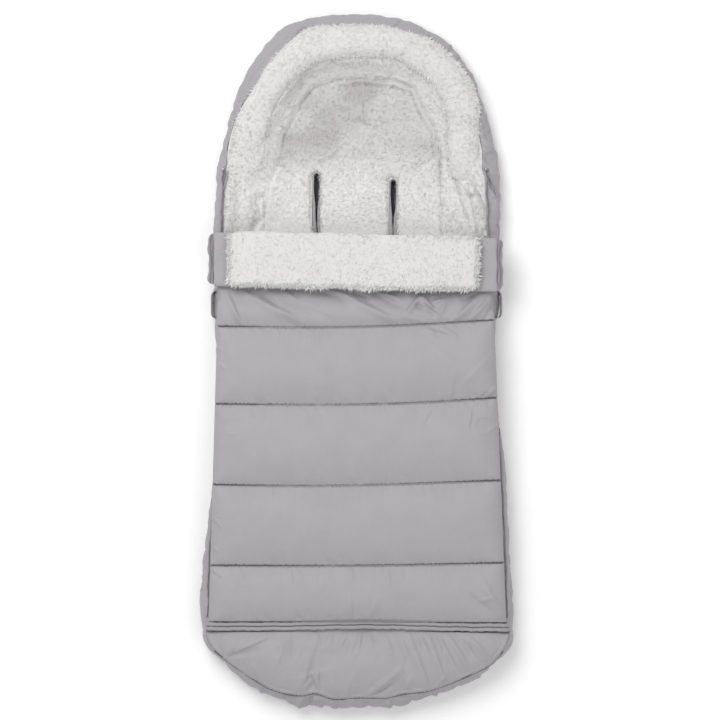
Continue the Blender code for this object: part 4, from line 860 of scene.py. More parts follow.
def build_neck_bulge():
    """The right side's lining, pushed in by the hood, which stands up as a soft ridge beside the zip."""
    path = open_curve(from_photo([(465, 178), (470, 186), (475.5, 195), (479.5, 206), (481.5, 219), (482, 232),
                                  (481.5, 246)]), 64, 0.006)
    rows = []
    turn = full_turn(36)
    for i, (x, y) in enumerate(path):
        taper = round_end(min(i, len(path) - 1 - i), 9, 0.02)
        wide = 0.0104 + 0.0008 * math.sin(i * 0.23)
        sink = 0.0090 * (1 - smooth(i, 0, 20)) + 0.0085 * smooth(i, 44, 63)
        rows.append(np.column_stack([x + wide * taper * np.cos(turn), np.full(36, y),
                                     0.0380 - sink + 0.0088 * taper * np.sin(turn)]))
    ridge = shape_grid("neck_ridge_sherpa", rows, wrap=True, caps=True)
    points = points_of(ridge)
    points += normals_of(ridge) * (0.0012 * swell(points, 0.02, 73) + pile(points, 0.5, 13))[:, None]
    set_points(ridge, points)
    finish_piece(ridge, SHERPA, "sherpa", body="back")
    comb(ridge, "neck_ridge_strands", 1800, lambda p: p[:, 2] > 0.037, 0.0050, 0.34, 15, body="back")


LINING_FOLDS = [
    (277, 163, 309, 189, -30, 35), (283, 172, 301, 182, 16, 40), (315, 162, 342, 146, 22, 60),
    (342, 146, 372, 150, 20, 60), (318, 165, 340, 152, -16, 50), (310, 92, 352, 119, -30, 100),
    (352, 121, 378, 130, -34, 80), (360, 112, 405, 100, 20, 120), (440, 152, 409, 178, -22, 40),
    (253, 200, 262, 196, -20, 60), (263, 215, 249, 236, -30, 35), (255, 190, 248, 232, 22, 60),
    (449, 163, 466, 220, -36, 45), (458, 178, 474, 232, 40, 70), (388, 128, 410, 122, -18, 60),
    (300, 205, 330, 215, 12, 120), (355, 190, 385, 200, 12, 140), (410, 205, 435, 225, 14, 100)]


def comb(base, name, count, seen, length, lift, seed, body=None, blend=None, radius=0.00032, shade=False, rise=0,
         looks=STRANDS):
    """Loose strands of pile on a surface, all from one bent, tapered strand, lying in swirls."""
    clear_selection()
    bpy.ops.mesh.primitive_cone_add(vertices=3, radius1=1, radius2=0.25, depth=1, end_fill_type="NOTHING",
                                    location=(0, 0, 0.5))
    strand = bpy.context.object
    bm = bmesh.new()
    bm.from_mesh(strand.data)
    bmesh.ops.transform(bm, matrix=strand.matrix_world, verts=bm.verts)
    upright = [e for e in bm.edges if abs(e.verts[0].co.z - e.verts[1].co.z) > 0.5]
    bmesh.ops.subdivide_edges(bm, edges=upright, cuts=1, use_grid_fill=True)
    bm.verts.index_update()
    shape = np.array([v.co[:] for v in bm.verts])
    faces = [[v.index for v in f.verts] for f in bm.faces]
    bm.free()
    bpy.data.objects.remove(strand)
    shape[:, 2] = np.clip(shape[:, 2], 0, 1)

    mesh = base.data
    mesh.calc_loop_triangles()
    corners = np.empty(len(mesh.loop_triangles) * 3, np.int64)
    mesh.loop_triangles.foreach_get("vertices", corners)
    corners = corners.reshape(-1, 3)
    points = points_of(base)
    normals = normals_of(base)
    middles = points[corners].mean(1)
    sides = np.cross(points[corners[:, 1]] - points[corners[:, 0]], points[corners[:, 2]] - points[corners[:, 0]])
    area = np.sqrt((sides ** 2).sum(1)) * seen(middles)
    rng = np.random.default_rng(seed)
    chosen = rng.choice(len(corners), count, p=area / area.sum())
    shares = rng.dirichlet((1, 1, 1), count)
    roots = (points[corners[chosen]] * shares[:, :, None]).sum(1)
    up = unit(normals[corners[chosen]].mean(1) + np.array((0, 0, rise)))
    swirl = math.pi * (0.8 * swell(roots, 0.06, seed + 2) + 0.4 * swell(roots, 0.017, seed + 3)) - 1.9
    swirl += rng.normal(0, 0.3, count)
    flow = np.stack([np.cos(swirl), np.sin(swirl), np.zeros(count)], 1)
    flow = unit(flow - up * (flow * up).sum(1)[:, None], 1e-9)
    steep = lift + rng.normal(0, 0.08, count)
    heading = unit(up * steep[:, None] + flow)
    side = unit(np.cross(heading, up), 1e-9)
    third = np.cross(heading, side)
    sizes = length * rng.uniform(0.6, 1.25, count)
    thick = radius * rng.uniform(0.75, 1.3, count)
    bend = rng.normal(0, 0.30, count)
    x, y, z = shape[:, 0], shape[:, 1], shape[:, 2]
    placed = roots[:, None] - up[:, None] * 0.0003
    sideways = x[None] * thick[:, None] + bend[:, None] * sizes[:, None] * z[None] ** 2
    placed = placed + side[:, None] * sideways[..., None]
    placed = placed + third[:, None] * (y[None] * thick[:, None])[..., None]
    placed = placed + heading[:, None] * (z[None] * sizes[:, None])[..., None]
    placed = placed - up[:, None] * (0.28 * sizes[:, None] * z[None] ** 2)[..., None]
    cloth = bpy.data.meshes.new(name)
    every = np.array(faces, np.int64)
    all_faces = (np.arange(count)[:, None, None] * len(shape) + every[None]).reshape(-1, every.shape[1])
    cloth.vertices.add(count * len(shape))
    cloth.vertices.foreach_set("co", placed.ravel())
    cloth.loops.add(all_faces.size)
    cloth.loops.foreach_set("vertex_index", all_faces.ravel())
    cloth.polygons.add(len(all_faces))
    cloth.polygons.foreach_set("loop_start", np.arange(len(all_faces)) * every.shape[1])
    cloth.update(calc_edges=True)
    cloth.shade_smooth()
    piece = bpy.data.objects.new(name, cloth)
    bpy.context.scene.collection.objects.link(piece)
    # Strands over the head hollow get the same painted shade.
    if shade:
        mark_pressed_and_painted_shade(piece, np.repeat(pressed_pile_and_painted_shade(roots), len(shape)))
    finish_piece(piece, looks, "sherpa", body=body, blend=blend)


def build_roll():
    """The thick sherpa roll round the hood, plump at the head and thinner towards its two ends."""
    centre = open_curve(from_photo(ROLL_PX), 270, 0.008)
    along = unit(np.gradient(centre, axis=0))
    across = np.stack([along[:, 1], -along[:, 0]], 1)
    run = lengths_along(centre)
    rows = []
    for i in range(len(centre)):
        end = min(run[i], run[-1] - run[i])
        taper = round_end(end, 0.014, 0.0016)
        rise = smooth(centre[i, 1], NECK_Y, 0.475)
        low_end, reach = (0.64, 0.042) if centre[i, 0] < 0 else (0.36, 0.030)
        half_height = (0.0118 + 0.0095 * rise) * (1 - low_end * math.exp(-(end / reach) ** 2))
        half_width = 0.0236 + 0.0012 * math.sin(run[i] * 31) + 0.0008 * math.sin(run[i] * 83)
        turn = full_turn(68)
        wide, tall = squared(np.cos(turn), 0.92), squared(np.sin(turn), 0.92)
        flat = centre[i] + across[i] * (half_width * taper * wide)[:, None]
        rows.append(np.column_stack([flat, 0.0232 + half_height * (1 + taper * tall)]))
    roll = shape_grid("hood_roll_sherpa", rows, wrap=True, caps=True)
    points = points_of(roll)
    normals = normals_of(roll)
    lumps = 0.0022 * swell(points, 0.05, 21) + 0.0009 * swell(points, 0.022, 22)
    points += normals * (lumps + pile(points, 0.5, 4))[:, None]
    points[:, 2] = np.maximum(points[:, 2], 0.0225)
    set_points(roll, points)
    finish_piece(roll, RAISED_SHADED, "sherpa", body="hood", replaces=("hood_roll",))
    seen = lambda p: (p[:, 2] > 0.029) | ((p[:, 2] > 0.0245) & (p[:, 1] < NECK_Y + 0.03))
    comb(roll, "hood_roll_strands", 15500, seen, 0.0056, 0.20, 8, body="hood", radius=0.00036,
         looks=RAISED_SHADED_STRANDS)
    edge = lambda p: (p[:, 2] > 0.030) & (np.abs(line_distance(p[:, :2], from_photo(ROLL_PX)) - 0.0225) < 0.003)
    # The roll's edge fringe and tufts take the near-white copy: painted light.
    comb(roll, "hood_roll_fringe", 3400, edge, 0.0050, 2.6, 9, body="hood", radius=0.00045, rise=0.35,
         looks=TIPS_PAINTED_LIGHT)
    comb(roll, "hood_roll_tufts", 620, edge, 0.0064, 2.2, 10, body="hood", radius=0.0010, rise=0.35,
         looks=TIPS_PAINTED_LIGHT)
    build_elastic()


def build_elastic():
    """The flat elastic that gathers the hood, inside the hem below the roll."""
    front = np.flatnonzero(outline[:, 1] > NECK_Y + 0.006)
    split = np.flatnonzero(np.diff(front) > 1)
    front = np.roll(front, -int(split[0]) - 1) if len(split) else front
    rows = []
    for k in front[::2]:
        x, y = rim[k] + inward[k] * 0.0046
        dx, dy = inward[k]
        z = float(rim_height(rim[k][1])) - 0.0130
        rows.append([(x + dx * a, y + dy * a, z + b) for a, b in
                     ((-0.0006, -0.003), (0.0006, -0.003), (0.0006, 0.003), (-0.0006, 0.003))])
    closed_piece("hood_elastic_band", rows, ELASTIC, "elastic", body="hood", replaces=("hood_elastic",))


def cuff_place(x, down):
    """A place on the folded cuff, down from the fold."""
    return seam_line(5, x) - down


CUFF_LEFT, CUFF_RIGHT = edge_x(LEFT, FOLD_Y) - 0.009, edge_x(RIGHT, FOLD_Y) + 0.010


def build_cuff():
    """The cover's turned-back top: sherpa band over taffeta, with the ends of the zip tapes beside it."""
    left, right = from_photo([(229.3, 0), (477.6, 0)])[:, 0]
    rows = []
    turn = full_turn(112)
    count = 215
    for i in range(count):
        share = i / (count - 1)
        x = left + (right - left) * share
        end = min(x - left, right - x)
        taper = round_end(end, 0.0035, 0.0025)
        soft = 1 - 0.15 * math.exp(-end / 0.008)
        half_length = 0.0390 * (1 - 0.12 * math.exp(-(end / 0.009) ** 2))
        wide, tall = squared(np.cos(turn), 0.4), squared(np.sin(turn), 0.5)
        down = 0.0368 + 0.0006 * math.sin(x * 60) + half_length * wide
        z = 0.0722 + 0.0060 * (1 + tall * taper * soft)
        rows.append(np.column_stack([np.full(len(turn), x), cuff_place(x, down), z]))
    band = shape_grid("cuff_sherpa_band", rows, wrap=True, caps=True)
    points = points_of(band)
    normals = normals_of(band)
    lumps = 0.0011 * swell(points, 0.045, 31) + 0.0007 * swell(points, 0.02, 32)
    points += normals * (lumps + pile(points, 0.3, 6))[:, None]
    points[:, 2] = np.maximum(points[:, 2], 0.0719)
    set_points(band, points)
    finish_piece(band, RAISED_SHADED, "sherpa", body="cuff", replaces=("cuff_sherpa",))
    seen = lambda p: p[:, 2] > 0.0735
    comb(band, "cuff_strands", 15500, seen, 0.0056, 0.17, 12, body="cuff", radius=0.00036, looks=RAISED_SHADED_STRANDS)
    fringe = lambda p: ((p[:, 2] > 0.0780) & (p[:, 2] < 0.0842)
                        & ((p[:, 1] < cuff_place(p[:, 0], 0.070))
                           | (p[:, 0] < left + 0.004) | (p[:, 0] > right - 0.004)))
    # The cuff's edge fringe and tufts take the near-white copy: painted light.
    comb(band, "cuff_fringe", 3400, fringe, 0.0052, 2.6, 14, body="cuff", radius=0.0005, rise=0.7, looks=TIPS_PAINTED_LIGHT)
    comb(band, "cuff_tufts", 760, fringe, 0.0080, 2.4, 16, body="cuff", radius=0.0011, rise=0.7, looks=TIPS_PAINTED_LIGHT)

    rows = []
    section = [(0.0003, 0.0668), (0.030, 0.0667), (0.060, 0.0667), (0.0745, 0.0668), (0.0768, 0.0678),
               (0.0773, 0.0692), (0.0766, 0.0707), (0.0745, 0.0716)]
    section += [(down, 0.0719 + 0.0004 * math.sin(down * 80)) for down in np.linspace(0.070, 0.004, 16)]
    section += [(0.0012, 0.0712), (-0.0002, 0.0700), (-0.0004, 0.0684)]
    mid_x, half_x = (CUFF_LEFT + CUFF_RIGHT) / 2, (CUFF_RIGHT - CUFF_LEFT) / 2
    for share in np.sin(np.linspace(-math.pi / 2, math.pi / 2, 190)):
        end = (1 - abs(share)) * half_x
        corner = 1 - 0.075 * max(0, 1 - end / 0.005) ** 2
        round_off = round_end(end, 0.0032, 0.03)
        ring = []
        for down, z in section:
            wave = 0.0009 * math.sin(down * 95 + (1 if share > 0 else 2.2)) + 0.0005 * math.sin(down * 260 + 1)
            x = mid_x + half_x * share + math.copysign(wave * math.exp(-end / 0.014), share)
            ripple = 0.0005 * math.sin(down * 120 + share * 40) * math.exp(-end / 0.02) if z > 0.0715 else 0
            place = 0.0385 + (down - 0.0385) * corner
            ring.append((x, cuff_place(x, place), 0.0690 + (z + ripple - 0.0690) * round_off))
        rows.append(ring)
    panel = closed_piece("cuff_cloth", rows, SHELL, "shell", body="cuff",
                         replaces=("cuff_panel", "cuff_magnet_left", "cuff_magnet_right"))
    for side, word in SIDES:
        build_cuff_tape(side, word)


def build_cuff_tape(side, word):
    """The end of a side zip's tape beside the cuff, wavy, with its row of teeth and its stitches."""
    start = (CUFF_LEFT if side == LEFT else CUFF_RIGHT) + side * 0.0002
    rows = []
    for step in np.linspace(0, 1, 46):
        down = 0.001 + 0.0735 * step
        wave = 0.0009 * math.sin(down * 130 + side) + 0.0006 * math.sin(down * 310)
        width = (0.0080 + wave) * math.sqrt(1 - max(0, 1 - min(step / 0.16, (1 - step) / 0.10)) ** 2 * 0.97)
        lift = 0.0006 * math.sin(down * 170 + 2 * side)
        row = [(0, 0.0686), (0.35, 0.0690 + lift), (0.7, 0.0696 + lift), (1.0, 0.0694 + lift),
               (1.0, 0.0682 + lift), (0.5, 0.0680)]
        rows.append([(start + side * width * s, cuff_place(start, down), z) for s, z in row])
    closed_piece(f"cuff_zip_tape_{word}_cloth", rows, SHELL_TURNED_SHADED, "trim", body="cuff",
                 replaces=(f"cuff_zip_tape_{word}",))
    spots = []
    for k in range(28):
        down = 0.004 + 0.00255 * k
        wave = 0.0009 * math.sin(down * 130 + side)
        spots.append((start + side * (0.0042 + wave), cuff_place(start, down), 0.0703))
    teeth(f"cuff_zip_teeth_{word}", spots, (0, 1, 0), (side, 0, 0), "cuff", 0.0011)


def teeth(name, spots, along, across, body, size, replaces=()):
    """One row of a nylon coil: a bent bar of a few faces, copied at every place."""
    clear_selection()
    bpy.ops.mesh.primitive_torus_add(major_segments=6, minor_segments=4, major_radius=1.0, minor_radius=0.42)
    link = bpy.context.object
    shape = points_of(link)
    faces = [list(p.vertices) for p in link.data.polygons]
    bpy.data.objects.remove(link)
    along, across, up = (np.array(v, float) for v in (along, across, (0, 0, 1)))
    local = (shape[:, :1] * across * size + shape[:, 1:2] * up * size * 0.75 + shape[:, 2:] * along * size * 0.95)
    points, every = [], []
    for spot in spots:
        offset = len(points) * len(shape)
        points.append(local + np.array(spot))
        every += [[v + offset for v in face] for face in faces]
    mesh = bpy.data.meshes.new(name)
    mesh.from_pydata(np.vstack(points).tolist(), [], every)
    mesh.shade_smooth()
    piece = bpy.data.objects.new(name, mesh)
    bpy.context.scene.collection.objects.link(piece)
    finish_piece(piece, COIL, "coil", body=body, replaces=replaces)


COVER_FOLDS = [
    (243, 291, 303, 322, 30, 45), (228, 294, 241, 323, 26, 35), (218, 300, 224, 322, 16, 30),
    (262, 290, 280, 308, -26, 40), (285, 290, 296, 300, 22, 30), (318, 291, 352, 299, -26, 40),
    (335, 290, 394, 320, 30, 45), (352, 290, 368, 298, -34, 25), (372, 292, 404, 307, -24, 40),
    (378, 290, 398, 298, 26, 30), (407, 312, 421, 294, 36, 32), (421, 294, 433, 309, 36, 32),
    (416, 303, 423, 309, -32, 28), (432, 302, 443, 299, 28, 25), (424, 305, 437, 315, -30, 28),
    (438, 316, 446, 298, 24, 30), (452, 322, 480, 294, 30, 45), (470, 320, 495, 290, 32, 35),
    (484, 320, 496, 298, -26, 30), (462, 300, 478, 292, -22, 30), (285, 298, 332, 320, -14, 50),
    (402, 316, 428, 323, 14, 35), (420, 328, 456, 338, 16, 30), (300, 500, 340, 545, 6, 100),
    (430, 345, 478, 380, 8, 80), (450, 400, 452, 372, 12, 30), (485, 397, 495, 387, 30, 25),
    (478, 400, 488, 392, -16, 25), (218, 362, 226, 368, 12, 25), (217, 345, 223, 350, 10, 25),
    (220, 408, 232, 430, 6, 50), (480, 575, 500, 610, 18, 60), (462, 590, 492, 612, -16, 70),
    (350, 595, 352, 618, 12, 35), (368, 618, 376, 598, 10, 40), (213, 572, 222, 578, -14, 25),
    (213, 545, 219, 551, 12, 20), (212, 520, 218, 524, -12, 20), (429, 328, 437, 337, 10, 22),
    (441, 326, 458, 337, 10, 24), (355, 368, 374, 399, 6, 45), (439, 393, 444, 401, 9, 22),
    (460, 386, 494, 352, 7, 45), (471, 410, 468, 428, 12, 22), (488, 431, 498, 423, 10, 22),
    (249, 410, 254, 418, 8, 20), (431, 410, 422, 423, 8, 22), (214, 517, 222, 526, 14, 24),
    (291, 569, 292, 582, 8, 22), (352, 568, 353, 578, 9, 22), (388, 568, 390, 584, 9, 24),
    (405, 568, 407, 580, -8, 22), (486, 588, 499, 604, 16, 30), (478, 600, 492, 596, 12, 26)]
HOOD_FOLDS = [
    (286, 50, 306, 26, -55, 24), (280, 50, 299, 28, 30, 34), (272, 60, 282, 42, 14, 40), (250, 92, 254, 74, 14, 30),
    (243, 108, 247, 86, -14, 25), (236, 124, 236, 104, 12, 30), (390, 30, 404, 18, -22, 30),
    (424, 42, 432, 33, -26, 22), (434, 46, 450, 48, -28, 22), (440, 50, 452, 44, 22, 25), (450, 62, 462, 58, -20, 22),
    (462, 76, 474, 72, 18, 25), (470, 92, 481, 92, -20, 25), (478, 118, 488, 112, 16, 30),
    (482, 140, 494, 148, 30, 45), (482, 156, 497, 160, -30, 40), (484, 166, 499, 176, 34, 40),
    (487, 172, 499, 196, -30, 30), (493, 190, 499, 214, 26, 28), (218, 180, 224, 190, -18, 25),
    (217, 200, 220, 222, 18, 25), (222, 165, 230, 158, -20, 30), (226, 142, 234, 150, 14, 30),
    (224, 690, 236, 676, 22, 30), (236, 676, 242, 690, -22, 30), (262, 684, 262, 700, 22, 28),
    (282, 692, 286, 706, -24, 28), (303, 697, 299, 712, 28, 28), (312, 694, 309, 710, -30, 26),
    (316, 694, 323, 710, 26, 28), (334, 700, 336, 712, 18, 30), (366, 700, 371, 712, -22, 26),
    (388, 699, 392, 712, 20, 30), (410, 696, 416, 708, -22, 28), (434, 692, 440, 702, 22, 28),
    (456, 684, 464, 694, -22, 28), (476, 674, 486, 684, 22, 28), (490, 666, 500, 674, -20, 28)]


def cover_height(near_low, near_high, crown):
    """How high the quilted top stands before the wadding presses it out."""
    share = np.clip(near_low / (near_low + near_high), 0, 1)
    seam = np.minimum(near_low, near_high)
    return crown * (1 - (2 * share - 1) ** 2) + 0.0030 * (1 - np.exp(-seam / 0.0030))


def build_cover():
    """Five quilted channels, each a stuffed body between two seams, over its own sherpa."""
    columns = np.linspace(0, 1, 170)
    rows, marks = [], [0]
    for index in range(5):
        steps = int((cover_seam(index + 1, 0) - cover_seam(index, 0)) / 0.0027)
        for share in np.linspace(0, 1, steps + 1)[0 if index == 0 else 1:]:
            middle = cover_seam(index, 0) * (1 - share) + cover_seam(index + 1, 0) * share
            left, right = edge_x(LEFT, middle) - 0.0012, edge_x(RIGHT, middle) + 0.0012
            x = left + (right - left) * columns
            low, high = cover_seam(index, x), cover_seam(index + 1, x)
            y = low + (high - low) * share
            height = cover_height(y - low + 1e-6, high - y + 1e-6, 0.0030 if index < 4 else 0.0012)
            edge = np.minimum(x - left, right - x)
            top = SEAM_Z - 0.0012 + height * (1 - np.exp(-edge / 0.006)) - 0.0040 * np.exp(-(edge / 0.0032) ** 1.3)
            rows.append(np.column_stack([x, y, top]))
        marks.append(len(rows) - 1)
    rows = np.array(rows)
    sheet = shape_grid("cover_cloth", rows)
    flat = np.zeros(rows.shape[:2], bool)
    flat[:, [0, -1]] = True
    flat[marks] = True
    settle(sheet, flat.ravel(), 0.0080, 0.008, 400, 0.016)
    moved = points_of(sheet).reshape(rows.shape) - rows
    bpy.data.objects.remove(sheet)
    for _ in range(7):
        moved[:, 1:-1] = (moved[:, :-2] + 2 * moved[:, 1:-1] + moved[:, 2:]) / 4
    rows = rows + moved
    for index in range(5):
        build_channel(index, finer(rows[marks[index]:marks[index + 1] + 1]))
        build_cover_lining(index + 1, index)
        for side, word in SIDES:
            build_cover_zip(index + 1, index, side, word)


def build_channel(index, rows):
    """One channel cut from the settled cloth, closed below and pressed into folds."""
    number = index + 1
    flat = rows.reshape(-1, 3).copy()
    low, high = cover_seam(index, flat[:, 0]), cover_seam(index + 1, flat[:, 0])
    seam = np.clip(np.minimum(flat[:, 1] - low, high - flat[:, 1]), 0, 1)
    flat[:, 2] += 1.6 * creases(flat, COVER_FOLDS, 0.8) * (1 - np.exp(-seam / 0.004))
    flat[:, 2] += 0.0009 * swell(flat * np.array((1, 0.6, 1)), 0.05, 43) * (1 - np.exp(-seam / 0.02))
    slanted = np.column_stack([flat[:, 0] + 0.35 * flat[:, 1], flat[:, 1] * 0.45, flat[:, 2] * 0])
    pucker = swell(slanted, 0.0075, 41) * smooth(swell(flat * np.array((1, 1, 0)), 0.028, 42), -0.5, 0.5)
    flat[:, 2] += 0.0023 * pucker * np.exp(-seam / 0.0095) * (1 - np.exp(-seam / 0.0020))
    if number == 3:
        flat[:, 2] += magnet_mark(flat)
    if number == 5:
        flat[:, 2] -= 0.0066 * smooth(flat[:, 1] - high, -0.042, -0.004)
        flat[:, 2] = np.minimum(flat[:, 2], 0.0770 - 0.0135 * smooth(flat[:, 1] - high, -0.018, -0.001))
    rows = flat.reshape(rows.shape)
    ragged = 0.00140 + 0.0005 * np.sin(rows[0, :, 0] * 1500 + 5 * np.sin(rows[0, :, 0] * 90))
    rows[0, :, 1] += ragged * (number > 1)
    if number < 5:
        rows[-1, :, 1] -= ragged[::-1]
    rings = [channel_ring(row) for row in rows]
    if number == 5:
        for down in (0.0750, 0.060, 0.040, 0.020, 0.0012, 0.0003):
            x = rows[-1, :, 0]
            edge = np.minimum(x - x[0], x[-1] - x)
            top = SEAM_Z - 0.0004 - 0.0040 * np.exp(-(edge / 0.0035) ** 1.3)
            rings.append(channel_ring(np.column_stack([x, seam_line(5, x) - down, top])))
    piece = shape_grid(f"cover_channel_{number}", rings, wrap=True, caps=True)
    inner = [f"cover_panel_{number}"] + (["cover_magnet_left", "cover_magnet_right"] if number == 3 else [])
    finish_piece(piece, SHELL, "shell", body=f"cover_{number}", replaces=inner)


def channel_ring(top):
    """Closes one row: over the top, round the right edge, back underneath."""
    below = np.linspace(1, 0, 26)[:, None]
    under = top[0] + (top[-1] - top[0]) * below
    under[:, 2] = COVER_Z + 0.0002
    under[[0, -1], 2] += 0.0010
    return np.vstack([top, under])


def magnet_mark(points):
    """The rims of the two magnets, pressed through the third channel."""
    total = np.zeros(len(points))
    for spot, strength in zip(from_photo([(232.5, 426), (482, 425)]), (0.0005, 0.0008)):
        gap = np.hypot(points[:, 0] - spot[0], points[:, 1] - spot[1])
        uneven = 0.7 + 0.5 * swell(points * np.array((1, 1, 0)), 0.008, 45)
        total += strength * uneven * np.exp(-((gap - 0.0118) / 0.0016) ** 2)
        total -= 0.5 * strength * np.exp(-(gap / 0.0095) ** 6)
    return total


def build_cover_lining(number, index):
    """Sherpa under one channel, which shows when the cover is open, and the two strips at the next seam
    that close it: a tuck of sherpa inside and, outside, a strip of dark stitching, partly painted shade of the seam's
    groove."""
    columns = np.linspace(0, 1, 150)
    width = SEAM_YS[index + 1] - SEAM_YS[index]
    rows = []
    for share in np.linspace(0, 1, 10 + int(width / 0.0031)):
        y_mid = SEAM_YS[index] + width * share
        left, right = edge_x(LEFT, y_mid) + 0.0085, edge_x(RIGHT, y_mid) - 0.0085
        x = left + (right - left) * columns
        y = seam_line(index, x) + 0.0003 + (seam_line(index + 1, x) - seam_line(index, x) - 0.0006) * share
        edge = np.minimum(np.minimum(columns, 1 - columns) * 0.4, 0.0001 + np.minimum(share, 1 - share) * 0.11)
        z = 0.0545 - 0.0016 * (1 - np.exp(-edge / 0.003))
        points = np.column_stack([x, y, z])
        points[:, 2] -= pile(points, 1.3, 9)
        above = np.column_stack([x[::-1][::10], y[::-1][::10], np.full(15, 0.0576)])
        rows.append(np.vstack([points, above]))
    piece = closed_piece(f"cover_sherpa_{number}", rows, SHERPA_INSIDE, "sherpa", body=f"cover_{number}",
                         replaces=(f"cover_lining_{number}",))
    if number < 5:
        seam = []
        for x in np.linspace(edge_x(LEFT, SEAM_YS[number]) + 0.009, edge_x(RIGHT, SEAM_YS[number]) - 0.009, 120):
            line = [(-0.005, 0.0572), (-0.0025, 0.0560), (0, 0.0556), (0.0025, 0.0560), (0.005, 0.0572)]
            seam.append([(x, seam_line(number, x) + y, z) for y, z in line])
        tuck = shape_grid(f"cover_tuck_{number}", seam)
        flip(tuck)
        y = SEAM_YS[number]
        finish_piece(tuck, SHERPA_INSIDE, "sherpa",
                     blend=(f"cover_{number}", f"cover_{number + 1}", (0, y - 0.004, 0.06), (0, y + 0.004, 0.06)))
        # A dark strip under the seam's gap between the channels: stitching, and painted shade of the seam's groove.
        top = []
        for x in np.linspace(edge_x(LEFT, y) + 0.002, edge_x(RIGHT, y) - 0.002, 120):
            line = [(-0.0032, 0.0632), (-0.0012, 0.0645), (0, 0.0648), (0.0012, 0.0645), (0.0032, 0.0632)]
            top.append([(x, float(cover_seam(number, x)) + dy, z) for dy, z in line])
        strip = shape_grid(f"cover_seam_{number}", top)
        flip(strip)
        finish_piece(strip, STITCH_AND_SEAM_SHADE, "shell",
                     blend=(f"cover_{number}", f"cover_{number + 1}", (0, y - 0.003, 0.06), (0, y + 0.003, 0.06)))


def build_cover_zip(number, index, side, word):
    """The cover's half of a side zip along one channel: tape and teeth."""
    start, end = SEAM_YS[index] + 0.0004, SEAM_YS[index + 1] - 0.0004
    if number == 1:
        start += 0.002
    rows, spots = [], []
    for y in np.linspace(start, end, 40):
        x = edge_x(side, y) - side * ZIP_INSET
        line = [(-0.0085, 0.0569), (-0.004, 0.0565), (0.0012, 0.0562), (0.0016, 0.0568), (0.0012, 0.0575),
                (-0.004, 0.0577), (-0.0085, 0.0577)]
        rows.append([(x + side * s, y, z) for s, z in line])
    closed_piece(f"cover_zip_tape_{number}_{word}", rows, TAPE, "trim", body=f"cover_{number}")
    for y in np.arange(max(start, -0.329) + 0.0015, end - 0.0008, TOOTH_PITCH):
        spots.append((edge_x(side, y) - side * ZIP_INSET, y, 0.0549))
    teeth(f"cover_zip_teeth_{number}_{word}", spots, (0, 1, 0), (1, 0, 0), f"cover_{number}", TOOTH_SIZE)


def loose_tape(side, y):
    """How far the open end of a side zip's tape waves out of line."""
    return side * smooth(y, 0.185, 0.21) * (0.0011 * math.sin(y * 150) + 0.0005 * math.sin(y * 390))


def build_side_zip(side, word):
    """The wall's half of a side zip: a tape that stands on the rim, and its teeth."""
    rows, spots = [], []
    for y in np.linspace(-0.3285, 0.272, 220):
        x = edge_x(side, y) - side * ZIP_INSET
        wave = loose_tape(side, y)
        line = [(-0.0006, 0.0440), (-0.0006, 0.0470), (-0.0005, 0.0500), (0.0005, 0.0500), (0.0006, 0.0470),
                (0.0006, 0.0440)]
        rows.append([(x + s + wave * (z - 0.044) / 0.006, y, z) for s, z in line])
    closed_piece(f"side_zip_tape_{word}_cloth", rows, TAPE, "trim", body="back",
                 replaces=(f"side_zip_tape_{word}",))
    for y in np.arange(-0.3275, 0.2715, TOOTH_PITCH):
        wave = loose_tape(side, y)
        spots.append((edge_x(side, y) - side * ZIP_INSET + wave, y, 0.0511))
    teeth(f"side_zip_teeth_{word}", spots, (0, 1, 0), (1, 0, 0), "back", TOOTH_SIZE,
          replaces=(f"side_zip_coil_{word}",))


def refine(node, material, slot, body, bevel):
    """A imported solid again, as one clean mesh with softened edges."""
    clear_selection()
    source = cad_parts[node]
    mesh = source.data.copy()
    piece = bpy.data.objects.new(f"{node}_finished", mesh)
    bpy.context.scene.collection.objects.link(piece)
    bm = bmesh.new()
    bm.from_mesh(mesh)
    bmesh.ops.remove_doubles(bm, verts=bm.verts, dist=1e-6)
    bmesh.ops.dissolve_limit(bm, angle_limit=math.radians(2), verts=bm.verts, edges=bm.edges)
    bm.to_mesh(mesh)
    bm.free()
    mesh.materials.clear()
    piece.select_set(True)
    bpy.context.view_layer.objects.active = piece
    softening = piece.modifiers.new("softened", "BEVEL")
    softening.width, softening.segments = bevel, 2
    softening.limit_method, softening.angle_limit = "ANGLE", math.radians(32)
    softening.harden_normals = False
    bpy.ops.object.modifier_apply(modifier=softening.name)
    bpy.ops.object.shade_smooth_by_angle(angle=math.radians(40))
    finish_piece(piece, material, slot, body=body, replaces=(node,))


def build_loop(side, word):
    """A flat webbing loop at a side, sewn down at both ends, that leans in over its gap."""
    low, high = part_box(f"side_loop_{word}")
    near, far = (high.x, low.x) if side == LEFT else (low.x, high.x)
    rows = []
    length = high.y - low.y
    for share in np.linspace(0, 1, 60):
        y = low.y + length * share
        out = min(1, math.sqrt(max(0, 1 - abs(2 * share - 1) ** 7)))
        bow = near + (far - near) * (0.12 + 0.88 * out)
        lean = -side * 0.0022 * out
        line = [(0, 0.029), (side * 0.0013, 0.0292), (side * 0.0013 + lean, 0.0386), (lean + side * 0.0006, 0.0392),
                (lean, 0.0388)]
        rows.append([(bow - side * 0.0013 + dx, y, z) for dx, z in line])
    closed_piece(f"side_loop_{word}_webbing", rows, WEBBING, "trim", body="back", replaces=(f"side_loop_{word}",))


